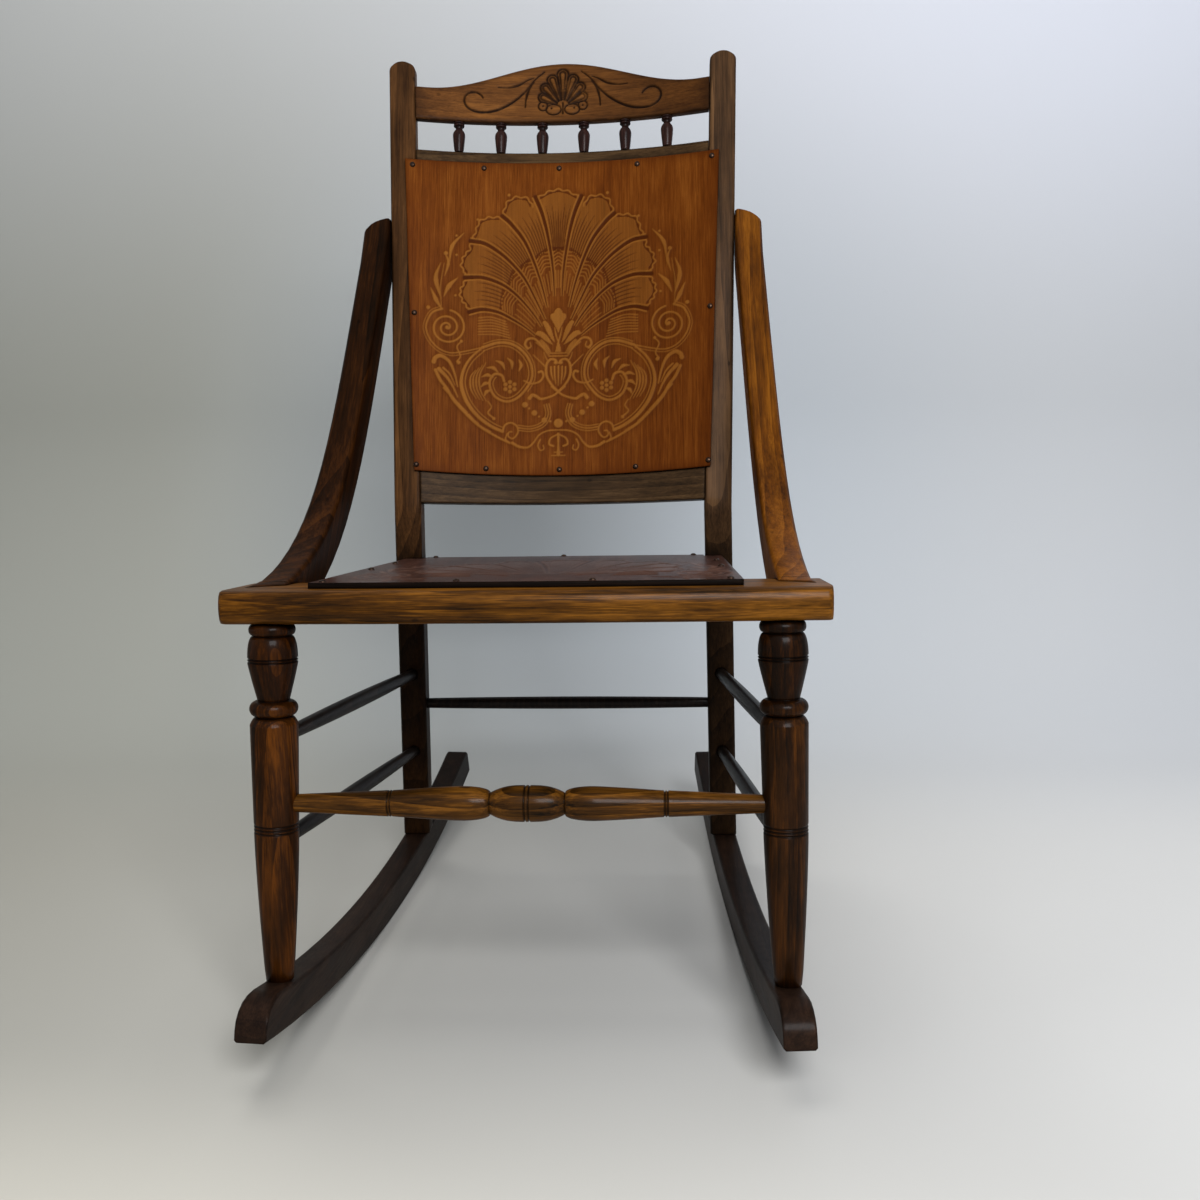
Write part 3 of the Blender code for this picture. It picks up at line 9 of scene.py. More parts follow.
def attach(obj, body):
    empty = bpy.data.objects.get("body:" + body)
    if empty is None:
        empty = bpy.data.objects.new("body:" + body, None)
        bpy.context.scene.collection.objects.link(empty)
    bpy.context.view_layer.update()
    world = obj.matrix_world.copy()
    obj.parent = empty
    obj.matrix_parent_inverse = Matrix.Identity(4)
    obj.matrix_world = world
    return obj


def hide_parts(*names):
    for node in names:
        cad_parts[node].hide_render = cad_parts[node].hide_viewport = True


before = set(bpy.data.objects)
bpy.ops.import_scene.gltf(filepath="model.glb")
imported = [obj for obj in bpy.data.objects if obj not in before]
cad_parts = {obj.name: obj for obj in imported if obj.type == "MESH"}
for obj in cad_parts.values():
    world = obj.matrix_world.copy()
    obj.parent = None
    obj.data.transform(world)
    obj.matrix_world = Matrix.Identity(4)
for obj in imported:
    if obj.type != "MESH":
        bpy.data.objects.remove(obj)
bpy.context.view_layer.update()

# Photograph's camera
EYE = Vector((0.12013, -1.20734, 0.58187))
LOOK = Vector((-0.05623, 0.98173, -0.18179))
UP = Vector((0.00824, 0.18253, 0.98317))
LENS = 34.5
SENSOR = 36.0


def srgb(r, g, b):
    """Linear colour of an 8 bit screen colour."""
    def channel(value):
        value /= 255
        return value / 12.92 if value <= 0.04045 else ((value + 0.055) / 1.055) ** 2.4

    return channel(r), channel(g), channel(b), 1.0


def tinted(colour, amount):
    """Colour made darker or brighter, up to white."""
    return tuple(min(1.0, value * amount) for value in colour[:3]) + (1.0,)


# Node graph helpers

class Graph:
    """Short names for building a node tree."""

    def __init__(self, tree):
        self.tree = tree

    def add(self, kind, inputs=None, **settings):
        """New shader node with its settings and with what goes into its inputs."""
        node = self.tree.nodes.new(f"ShaderNode{kind}")
        for key, value in settings.items():
            setattr(node, key, value)
        self.fill(node, inputs or {})
        return node

    def fill(self, node, inputs):
        """Link other nodes' outputs to a node's inputs, and set plain values on the rest."""
        for key, value in inputs.items():
            if isinstance(value, bpy.types.NodeSocket):
                self.tree.links.new(value, node.inputs[key])
            else:
                node.inputs[key].default_value = value

    def math(self, operation, a, b=0.0, clamp=False):
        return self.add("Math", {0: a, 1: b}, operation=operation, use_clamp=clamp).outputs[0]

    def vector(self, operation, inputs):
        return self.add("VectorMath", inputs, operation=operation).outputs

    def swing(self, value, amount):
        """Value from 0 to 1 as a change to both sides of zero, over an amount in all."""
        return self.math("MULTIPLY", self.math("SUBTRACT", value, 0.5), amount)

    def ramp(self, value, low, high, start=0.0, end=1.0):
        """Smooth step of a value from low..high to start..end."""
        inputs = {"Value": value, "From Min": low, "From Max": high, "To Min": start, "To Max": end}
        return self.add("MapRange", inputs, interpolation_type="SMOOTHSTEP").outputs["Result"]

    def mix(self, factor, a, b, blend="MIX"):
        inputs = {0: factor, 6: a, 7: b}
        return self.add("Mix", inputs, data_type="RGBA", blend_type=blend).outputs[2]

    def mapping(self, vector, location=(0, 0, 0), rotation=(0, 0, 0), scale=(1, 1, 1)):
        inputs = {"Vector": vector, "Location": location, "Rotation": rotation, "Scale": scale}
        return self.add("Mapping", inputs).outputs["Vector"]

    def noise(self, vector, scale, detail=3.0, roughness=0.5, shrink=None, output="Fac"):
        """Noise, drawn out along the grain where its coordinate along Z is shrunk."""
        if shrink is not None:
            vector = self.mapping(vector, scale=(1, 1, shrink))
        inputs = {"Vector": vector, "Scale": scale, "Detail": detail, "Roughness": roughness}
        return self.add("TexNoise", inputs).outputs[output]

    def bump(self, height, distance, strength, normal):
        inputs = {"Height": height, "Distance": distance, "Strength": strength, "Normal": normal}
        return self.add("Bump", inputs).outputs["Normal"]

    def place(self):
        return self.add("TexCoord").outputs["Object"]

    def axes(self, vector):
        return self.add("SeparateXYZ", {0: vector}).outputs

    def relief(self):
        """Layers drawn on a piece: Red is raised, Green is sunk and Blue is painted shade round the lines
        and along the edges.
        """
        drawn = self.add("Attribute", attribute_name="relief", attribute_type="GEOMETRY")
        return self.add("SeparateColor", {0: drawn.outputs["Color"]}).outputs


def new_material(name):
    made = bpy.data.materials.new(name)
    made.use_nodes = True
    return made, Graph(made.node_tree), made.node_tree.nodes["Principled BSDF"]


# Wood

# Turns that lay the grain, which runs along the texture's Z, along a piece
GRAIN_X = (0.0, math.pi / 2, 0.0)
GRAIN_Y = (math.pi / 2, 0.0, 0.0)
GRAIN_Z = (0.0, 0.0, 0.0)
GRAIN_BACK = (math.radians(15.1), 0.0, 0.0)
GRAIN_ARM = (math.radians(38.0), 0.0, 0.0)

# What is the same in every wood: strength of the pores, spread of the nicks and reach of the painted shade
# in corners
PORE_STRENGTH = 0.35
NICK_SCALE = 34.0
CORNER_SHADE_REACH = 0.018


def wood(
    name, light, mid, dark, grain, offset, rings=26.0, ring_depth=0.3, fibre=0.6, streak=0.4, stain=0.5,
    wear=0.25, rim_dark=0.5, roughness=0.42, gloss=0.03, coat=0.01, coat_roughness=0.16, corner_shade=0.7,
    edge=0.003, fleck=0.16, glow=0.0, nicks=0.6, lines=(), shade_fade=None,
):
    """Varnished wood: growth rings, fibres, pores, painted shade in corners and worn edges.

    light, mid and dark are 8 bit screen colours. lines gives the layers, colours and strengths of the
    pressed, carved or scored lines that are drawn on a piece. The last argument is painted shade: an axis,
    two places along it and the strength that the colour keeps at the second, so that the colour darkens
    towards one end or side of the piece.
    """
    made, g, shader = new_material(name)
    light, mid, dark = (srgb(*colour) for colour in (light, mid, dark))
    shade = tinted(dark, 0.3)
    place = g.place()
    along = g.mapping(place, offset, grain)

    # Growth rings, bent by a slow noise
    jitter = g.noise(along, 9.0, 2.0, shrink=0.16, output="Color")
    shift = g.vector("SCALE", {0: jitter, "Scale": 0.05})[0]
    warped = g.vector("ADD", {0: g.mapping(along, scale=(1, 1, 0.07)), 1: shift})[0]
    growth = g.add(
        "TexWave",
        {"Vector": warped, "Scale": rings, "Distortion": 1.1, "Detail": 2.0, "Detail Scale": 1.6},
        wave_type="RINGS", rings_direction="Z", wave_profile="SAW",
    ).outputs["Fac"]

    # Textures along the grain
    fibres = g.noise(along, 900.0, 3.0, 0.6, 0.02)
    streaks = g.noise(along, 240.0, 4.0, 0.6, 0.03)
    flecks = g.ramp(g.noise(along, 620.0, 4.0, 0.65, 0.045), 0.36, 0.66)
    bands = g.noise(along, 60.0, 3.0, 0.55, 0.03)
    pores = g.noise(along, 1700.0, 1.0, 0.5, 0.03)
    blotch = g.noise(along, 11.0, 4.0, 0.62, 0.4)
    mottle = g.noise(along, 42.0, 4.0, 0.6, 0.3)
    waver = g.noise(along, 7.0, 2.0, 0.5, 0.25)

    tone = g.math("MULTIPLY", growth, ring_depth)
    for texture, amount in (
        (bands, 1.2 * streak), (streaks, 1.3 * streak), (fibres, 0.9 * fibre), (waver, 0.4), (mottle, 0.8),
        (flecks, fleck),
    ):
        tone = g.math("ADD", tone, g.swing(texture, amount))
    tone = g.math("ADD", tone, 0.5 - ring_depth / 2, clamp=True)
    colours = g.add("ValToRGB", {"Fac": tone})
    stops = colours.color_ramp.elements
    stops.new(0.5)
    for stop, position, colour in zip(stops, (0.12, 0.5, 0.88), (dark, mid, light)):
        stop.position = position
        stop.color = colour

    # Stain, bare patches, pores and nicks
    colour = g.mix(g.ramp(blotch, 0.5, 0.78, 0.0, stain), colours.outputs["Color"], tinted(dark, 0.6))
    if glow:
        bare = g.ramp(g.noise(along, 34.0, 4.0, 0.58, 0.22), 0.46, 0.7, 0.0, glow)
        bare = g.math("MULTIPLY", bare, g.ramp(flecks, 0.0, 1.0, 0.75, 1.0))
        colour = g.mix(bare, colour, tinted(light, 1.35))
    dotted = g.ramp(pores, 0.62, 0.74, 0.0, PORE_STRENGTH)
    colour = g.mix(dotted, colour, shade)
    spread = g.mapping(along, scale=(1, 1, 0.6))
    cells = g.add("TexVoronoi", {"Vector": spread, "Scale": NICK_SCALE})
    colour = g.mix(g.ramp(cells.outputs["Distance"], 0.09, 0.03, 0.0, nicks), colour, shade)

    if lines:
        drawn = g.relief()
        for layer, ink, amount in lines:
            strength = g.math("MULTIPLY", drawn[layer], g.ramp(bands, 0.3, 0.7, 0.8 * amount, amount))
            colour = g.mix(strength, colour, srgb(*ink))

    # Dark crust and bright wear along the edges, and painted shade in the corners, where ambient occlusion
    # finds them
    rounded = g.add("Bevel", {"Radius": edge}, samples=4).outputs[0]
    flat = g.add("NewGeometry").outputs["Normal"]
    rim = g.ramp(g.vector("DOT_PRODUCT", {0: rounded, 1: flat})["Value"], 0.999, 0.94)
    rubbed = g.noise(along, 55.0, 4.0, 0.65)
    crust = g.math("MULTIPLY", rim, g.ramp(rubbed, 0.62, 0.4, 0.0, rim_dark))
    colour = g.mix(crust, colour, shade)
    worn = g.math("MULTIPLY", rim, g.ramp(rubbed, 0.5, 0.7, 0.0, wear))
    colour = g.mix(worn, colour, tinted(light, 1.4))
    corner = g.add("AmbientOcclusion", {"Distance": CORNER_SHADE_REACH}, samples=6).outputs["AO"]
    colour = g.mix(g.ramp(corner, 0.35, 0.95, corner_shade, 0.0), colour, shade)

    # Painted shade: the colour darkens along an axis towards one end or side of the piece
    if shade_fade:
        axis, first, last, kept = shade_fade
        shaded_colour = g.mix(1.0, colour, (kept, kept * 0.96, kept * 0.9, 1), "MULTIPLY")
        colour = g.mix(g.ramp(g.axes(place)[axis], first, last), colour, shaded_colour)

    rough = g.math("ADD", g.swing(blotch, 0.25), roughness)
    rough = g.math("ADD", rough, g.math("MULTIPLY", dotted, 0.25))
    height = g.math("ADD", g.math("MULTIPLY", fibres, 0.5), g.math("MULTIPLY", streaks, 0.7))
    dent = g.bump(g.noise(along, 24.0, 2.0), 0.0016, 0.35, rounded)
    g.fill(shader, {
        "Base Color": colour,
        "Roughness": rough,
        "Specular IOR Level": gloss,
        "Coat Weight": coat,
        "Coat Roughness": coat_roughness,
        "Coat Normal": dent,
        "Normal": g.bump(height, 0.00035, 0.6, dent),
    })
    return made


def bronze():
    """Darkened brass of the tack heads, tarnished in patches, with painted shade round the rim of the head.
    """
    made, g, shader = new_material("tack_bronze")
    tarnish = g.ramp(g.noise(g.place(), 420.0, 4.0, 0.6), 0.35, 0.7)
    colour = g.mix(tarnish, srgb(66, 48, 36), srgb(28, 18, 14))
    colour = g.mix(g.math("MULTIPLY", g.relief()["Green"], 0.8), colour, srgb(16, 10, 8))
    rough = g.ramp(tarnish, 0.0, 1.0, 0.32, 0.5)
    g.fill(shader, {"Base Color": colour, "Metallic": 0.85, "Roughness": rough})
    return made


# Pressed and carved ornament

class Relief:
    """Half of a pattern that is the same on both sides of its axis, drawn on a fine grid.

    Places are (distance from the axis, height) in millimetres. light holds the raised lines, dark the sunk
    ones and the third layer the painted shade in the field round them, from 0 to 1.
    """

    CELL = 0.4
    SOFT = 0.9

    def __init__(self, width, bottom, top):
        self.bottom = bottom
        self.shape = (int((top - bottom) / self.CELL) + 1, int(width / self.CELL) + 1)
        self.light = np.zeros(self.shape, np.float32)
        self.dark = np.zeros(self.shape, np.float32)
        self.shade_field = np.zeros(self.shape, np.float32)

    def stamp(self, places, radii, layer, strength=1.0):
        """Round dabs along a line; a later dab never weakens an earlier one."""
        places = np.asarray(places, float)
        radii = np.broadcast_to(np.asarray(radii, float), len(places))
        column = np.abs(places[:, 0]) / self.CELL
        row = (places[:, 1] - self.bottom) / self.CELL
        reach = int(np.ceil((radii.max() + self.SOFT) / self.CELL))
        steps = np.arange(-reach, reach + 1)
        rows = np.round(row).astype(int)[:, None, None] + steps[None, :, None]
        columns = np.round(column).astype(int)[:, None, None] + steps[None, None, :]
        away = np.hypot(rows - row[:, None, None], columns - column[:, None, None]) * self.CELL
        value = np.clip((radii[:, None, None] - away) / self.SOFT + 0.5, 0, 1) * strength
        columns = np.abs(np.broadcast_to(columns, value.shape))
        rows = np.broadcast_to(rows, value.shape)
        inside = (rows >= 0) & (rows < self.shape[0]) & (columns < self.shape[1]) & (value > 0)
        flat = rows[inside] * self.shape[1] + columns[inside]
        np.maximum.at(getattr(self, layer).reshape(-1), flat, value[inside].astype(np.float32))

    def stroke(self, points, start, end=None, middle=None, layer="light", strength=1.0):
        """Smooth line through the points whose width runs from start over middle to end."""
        path = smooth(points)
        share = np.linspace(0, 1, len(path))
        end = start if end is None else end
        middle = (start + end) / 2 if middle is None else middle
        width = np.interp(share, (0, 0.5, 1), (start, middle, end))
        self.stamp(path, width / 2, layer, strength)

    def lines(self, lines):
        """Raised strokes, given as points and widths."""
        for points, *widths in lines:
            self.stroke(points, *widths)

    def dots(self, dots):
        """Raised round dots, given as places and radii."""
        for x, y, radius in dots:
            self.stamp([(x, y)], radius, "light")

    def fill(self, outline, layer="light", strength=1.0):
        """Fill a closed outline by the even-odd rule."""
        outline = np.asarray(outline, float)
        row, column = np.mgrid[0:self.shape[0], 0:self.shape[1]]
        x = column * self.CELL
        y = row * self.CELL + self.bottom
        inside = np.zeros(self.shape, bool)
        for (x0, y0), (x1, y1) in zip(outline, np.roll(outline, -1, 0)):
            if y0 != y1:
                crosses = (y0 > y) != (y1 > y)
                inside ^= crosses & (x < (x1 - x0) * (y - y0) / (y1 - y0) + x0)
        target = getattr(self, layer)
        target[inside] = np.maximum(target[inside], strength)

    def spread_shade_field(self, reach, gain):
        """Paint shade in the field near the lines: the lines blurred over a reach, and made stronger."""
        width = int(reach / self.CELL)
        field = np.maximum(self.light, self.dark)
        field = np.concatenate((field[:, width:0:-1], field), axis=1)
        for axis in (0, 1, 0, 1):
            pad = [(0, 0), (0, 0)]
            pad[axis] = (width + 1, width)
            total = np.cumsum(np.pad(field, pad, mode="edge"), axis=axis)
            high = np.take(total, range(2 * width + 1, total.shape[axis]), axis=axis)
            low = np.take(total, range(0, total.shape[axis] - 2 * width - 1), axis=axis)
            field = (high - low) / (2 * width + 1)
        self.shade_field = np.clip(field[:, width:] * gain, 0, 1) * (1 - self.light)

    def sample(self, x, y):
        """The three layers at places in millimetres, as the last axis, blended between the grid's points."""
        grid = np.stack((self.light, self.dark, self.shade_field), axis=2)
        column = np.clip(np.abs(x) / self.CELL, 0, self.shape[1] - 1.001)[:, :, None]
        row = np.clip((y - self.bottom) / self.CELL, 0, self.shape[0] - 1.001)[:, :, None]
        i = row[:, :, 0].astype(int)
        j = column[:, :, 0].astype(int)
        a = row - i[:, :, None]
        b = column - j[:, :, None]
        low = grid[i, j] * (1 - b) + grid[i, j + 1] * b
        high = grid[i + 1, j] * (1 - b) + grid[i + 1, j + 1] * b
        return low * (1 - a) + high * a


def smooth(points, step=0.25):
    """Evenly spaced places on a soft curve through the points."""
    knots = np.asarray(points, float)
    knots = np.vstack((2 * knots[0] - knots[1], knots, 2 * knots[-1] - knots[-2]))
    share = np.linspace(0, 1, 24, endpoint=False)[:, None]
    runs = []
    for p0, p1, p2, p3 in zip(knots, knots[1:], knots[2:], knots[3:]):
        bend = 2 * p0 - 5 * p1 + 4 * p2 - p3
        twist = 3 * p1 - p0 - 3 * p2 + p3
        runs.append(p1 + 0.5 * ((p2 - p0) * share + bend * share**2 + twist * share**3))
    path = np.vstack(runs + [knots[-2:-1]])
    return even(path, step)


def even(path, step):
    """The same path with evenly spaced points."""
    length = np.concatenate(((0,), np.cumsum(np.hypot(*np.diff(path, axis=0).T))))
    count = max(2, int(length[-1] / step) + 1)
    at = np.linspace(0, length[-1], count)
    return np.column_stack([np.interp(at, length, path[:, k]) for k in range(2)])


def beside(path, distance):
    """Path moved sideways, to its left where the distance is positive."""
    run = np.gradient(path, axis=0)
    run /= np.linalg.norm(run, axis=1)[:, None]
    return path + np.column_stack((-run[:, 1], run[:, 0])) * distance


def heading(angle):
    """Direction of an angle."""
    return np.array((math.cos(angle), math.sin(angle)))


# Half width, lowest and highest place of the pressed pattern and of the carved one
PRESSED_AREA = (170.0, 52.0, 402.0)
CARVED_AREA = (170.0, 0.0, 80.0)
# Ribs of the pressed shell, from the foot to the rim
SHELL_RIBS = (
    ((4.7, 261), (6.2, 291), (9.8, 319), (14.8, 345.5), (20.6, 366.5), (28, 385)),
    ((13.3, 247), (20.5, 276), (30.5, 306), (42, 331), (57.7, 351.5), (68, 361)),
    ((16, 232), (27.6, 257), (40.4, 282), (54.7, 300), (70.4, 314.5), (88.8, 326), (106, 329)),
    ((20.4, 223.5), (27.5, 235), (40.3, 251.5), (54.6, 266), (70.2, 276.5), (91.4, 283.5), (112.5, 283)),
    ((27.5, 212), (40.3, 222.5), (55.9, 232.5), (72.9, 241), (91.2, 244), (107, 240.5)),
)
# Rims of the lobes between the ribs
SHELL_RIMS = (
    ((-25, 384), (-12, 391.5), (0, 394), (12, 391.5), (25, 384)),
    ((31, 372), (37, 383), (51, 385), (60.5, 380), (64, 374), (67, 364)),
    ((71, 359), (83.5, 359), (95, 354), (99, 343.5), (103, 332)),
    ((106, 325), (107, 318), (114, 309), (116.5, 297), (111.5, 288)),
    ((112, 279), (117.5, 266.5), (116, 256), (108, 245)),
)
# Number of flutes of each lobe, and how far along it they end and start
SHELL_FLUTES = ((9, 0.87, 0.40), (7, 0.84, 0.42), (7, 0.84, 0.44), (7, 0.84, 0.48), (6, 0.85, 0.52))


def lobe_line(first, second, share, low, high):
    """Line between two ribs, at a share of the way across and from low to high along them."""
    along = np.linspace(low, high, 60)
    sides = []
    for rib in (first, second):
        path = even(smooth(rib), 1.0)
        at = np.linspace(0, 1, len(path))
        sides.append(np.column_stack([np.interp(along, at, path[:, k]) for k in range(2)]))
    return sides[0] * (1 - share) + sides[1] * share


def draw_lobe(relief, first, second, rim, flutes, tip, ladder):
    """Lobe of the shell: a plain tip in a rippled rim, cut flutes, short bars and lines to the foot."""
    edge = smooth(rim)
    low_edge, high_edge = (lobe_line(first, second, share, ladder + 0.08, 0.97) for share in (0.08, 0.92))
    relief.fill(np.vstack((low_edge, beside(edge, -3.4)[6:-6], high_edge[::-1])), strength=0.42)
    for i in range(flutes):
        share = 0.17 + 0.66 * i / (flutes - 1)
        finish = tip + 0.06 * math.sin(math.pi * share) - 0.08 * (i % 2)
        cut = even(lobe_line(first, second, share, ladder + 0.05, finish), 0.3)
        width = np.interp(np.linspace(0, 1, len(cut)), (0, 0.7, 1), (0.9, 0.85, 0.4))
        relief.stamp(cut, width, "dark")
    relief.light = np.minimum(relief.light, 1 - 0.95 * relief.dark)
    relief.stamp(beside(edge, -2.4)[6:-6], 0.7, "dark", 0.9)
    ripple = 1.1 * np.sin(np.linspace(0, 9 * math.pi, len(edge)))
    relief.stamp(edge + (beside(edge, 1.0) - edge) * ripple[:, None], 0.85, "light")
    for k in range(5):
        at = ladder + 0.03 - 0.036 * k
        bar = [lobe_line(first, second, share, at + rise, at + 0.1)[0]
               for share, rise in ((0.16, 0), (0.5, 0.03), (0.84, 0))]
        relief.stroke(bar, 1.1, strength=0.85)
    for share in (0.26, 0.5, 0.74):
        relief.stamp(even(lobe_line(first, second, share, 0.08, ladder - 0.15), 0.3), 0.5, "light", 0.85)


def draw_shell(relief):
    mirrored = [(-x, y) for x, y in SHELL_RIBS[0]]
    firsts = (mirrored,) + SHELL_RIBS[:-1]
    for first, second, rim, settings in zip(firsts, SHELL_RIBS, SHELL_RIMS, SHELL_FLUTES):
        draw_lobe(relief, first, second, rim, *settings)
    for rib in SHELL_RIBS:
        path = smooth(rib)
        width = np.linspace(0.8, 5.4, len(path))
        relief.stamp(path, width / 2, "dark")
        relief.light = np.minimum(relief.light, 1.05 - relief.dark)
        for side in (-1, 1):
            edge = path + (beside(path, side) - path) * (width / 2 + 0.9)[:, None]
            relief.stamp(edge, np.linspace(0.45, 0.95, len(path)), "light")
    for i in range(7):
        start = (58 + 0.9 * i, 209 + 3.4 * i)
        relief.stroke((start, (75 + i, 213 + 3.6 * i), (96, 213 + 3.4 * i)), 1.3, strength=0.9)


def veined(relief, points, ends, width, vein):
    """Pointed leaf with a cut vein."""
    relief.stroke(points, ends, ends, width)
    relief.stroke(points, 0.3, 0.3, vein, "dark", 0.8)


# Raised lines are points and the widths at their start, end and middle. Dots are places and radii.
VOLUTE_TAIL = (
    (139, 243.5), (150.5, 238), (157, 224), (156, 213), (150.5, 202.5), (140.8, 193.5), (128.4, 189.5),
    (113.2, 191.5), (91, 197),
)
VOLUTE_LINES = (
    (VOLUTE_TAIL, 2.6, 1.4, 1.5),
    (((116, 204), (121, 197), (117, 186), (121, 179)), 1.4, 1.6),
)
VOLUTE_LEAVES = (
    (((138.5, 242), (145.5, 253.5), (152.5, 269)), 5.0),
    (((140, 255.5), (146.5, 281), (141, 300.5)), 5.5),
    (((137, 258.5), (131, 272), (120.8, 282.5)), 5.5),
    (((136, 284.5), (132, 301), (136, 313)), 3.6),
    (((131, 300), (127.5, 322), (114, 338.5)), 4.4),
    (((139.5, 242), (141, 270), (137, 300)), 1.2),
)
VOLUTE_CENTRE = np.array((132.8, 220.6))
VOLUTE_TURN = (math.radians(100), math.radians(950))
VOLUTE_RADIUS = (21.5, 2.0)
VOLUTE_DOTS = (
    (*VOLUTE_CENTRE, 2.2), (155, 244.5, 2.2), (135, 312.5, 2.4), (122.6, 335, 1.4), (60, 387.5, 1.8),
    (97.5, 356, 1.5), (122.4, 311, 1.4), (123.4, 260.5, 1.4), (116, 204, 1.8), (119, 178, 2.2),
)


def draw_volutes(relief):
    turn = np.linspace(*VOLUTE_TURN, 420)
    radius = np.linspace(*VOLUTE_RADIUS, 420)
    coil = VOLUTE_CENTRE + np.column_stack((np.cos(turn), np.sin(turn))) * radius[:, None]
    relief.stamp(even(coil, 0.25), 1.1, "light")
    relief.lines(VOLUTE_LINES)
    relief.stroke(beside(smooth(VOLUTE_TAIL), 3.2)[::12], 0.9)
    for points, width in VOLUTE_LEAVES:
        veined(relief, points, 0.7, width, width * 0.28)
    relief.dots(VOLUTE_DOTS)


SCROLL_RING = (
    (91, 197), (72.7, 203), (55.8, 201.5), (41.6, 191.5), (33, 177), (31.6, 161), (37, 149), (48.5, 136),
    (62.5, 131), (76.6, 138), (82.3, 153), (77, 164), (68, 163), (65, 156),
)
SCROLL_HOOP = (
    (91, 197), (105, 183.5), (113, 169), (115.7, 153), (112, 137), (104.5, 123), (93, 110), (79, 100),
    (66.6, 94.5),
)
SCROLL_STEM = (
    (146, 168), (140.5, 156.5), (132, 145), (125, 132.5), (114, 120), (97, 103), (82, 93), (69.5, 86),
    (58, 80.5),
)
SCROLL_VOLUTE = (
    (66.6, 94.5), (63.8, 102), (56.8, 105), (49.8, 101), (48.4, 93), (54, 86), (59.6, 88.5), (59, 93.5),
    (55.4, 94),
)
SCROLL_BRACKET = ((48.4, 99), (34.5, 97.5), (23, 100.5), (16, 106), (12, 116), (14.5, 129))
SCROLL_LINES = (
    (SCROLL_RING, 3.4, 3.0, 2.8),
    (SCROLL_HOOP, 2.0, 3.6, 4.4),
    (SCROLL_STEM, 3.6, 2.4),
    (SCROLL_VOLUTE, 2.4, 1.6),
    (((148, 178), (146, 183), (139.5, 185.5), (129.7, 178.5), (123.5, 164), (120, 148.5)), 5.2, 1.4),
    (((142, 169.5), (132.5, 159.5), (125.5, 148.5), (119.7, 135.5)), 4.6, 1.2),
    (((137, 171), (129, 163), (123, 150)), 2.4, 0.9),
    (((135, 146.5), (126.5, 136.5), (118, 125.5)), 4.0, 1.1),
    (((128, 138), (119, 128), (108, 117)), 2.2, 0.9),
    (((119, 128), (107, 114), (95, 104)), 2.0, 0.9),
    (((107, 115), (94, 102), (80, 94)), 1.8, 0.9),
    (((58, 80.5), (63, 85), (61, 92)), 2.0, 1.2),
    (((84, 131), (80, 124), (84, 117), (78, 111)), 1.2, 2.2),
)
ROSETTE = np.array((58, 149))
ROSETTE_LEAVES = np.array((58, 150))


def draw_scrolls(relief):
    relief.lines(SCROLL_LINES)
    ring = smooth(SCROLL_RING)
    relief.stroke(beside(ring, 4.2)[:-60:12], 1.2)
    relief.stroke(beside(ring, -3.6)[10:430:12], 1.1)
    relief.stroke(beside(smooth(SCROLL_HOOP), -4.6)[::12], 1.2)
    for shift, width in ((0, 1.6), (3.0, 1.2), (-3.0, 1.2)):
        relief.stroke(beside(smooth(SCROLL_BRACKET), shift)[::10], width)
    for i in range(7):
        turn = math.radians(118 - 22 * i)
        lean = turn - 0.5
        root = ROSETTE_LEAVES + (23, 21) * heading(turn)
        reach = 15 - 0.5 * abs(i - 2) ** 1.5
        middle = root + 0.55 * reach * heading(lean + 0.35)
        veined(relief, (root, middle, root + reach * heading(lean)), 1.0, 4.2, 1.2)
    for i in range(6):
        petal = ROSETTE + (6.2, 5.8) * heading(math.radians(30 + 60 * i))
        relief.stamp([petal], 2.5, "light", 0.9)
    relief.dots(((*ROSETTE, 2.3), (77, 110, 2.0)))
    for i in range(4):
        feather = (
            (87 + 4 * i, 178 - 3 * i), (94 + 3.6 * i, 163 - i), (93.5 + 3.6 * i, 146), (86 + 4 * i, 131 + i),
        )
        relief.stroke(feather, 0.8, 0.8, 2.2)


URN_LEAF = ((0, 215), (3, 222), (6.8, 229), (9.4, 234), (8.8, 238), (5.6, 239.5), (4, 243), (0, 246))
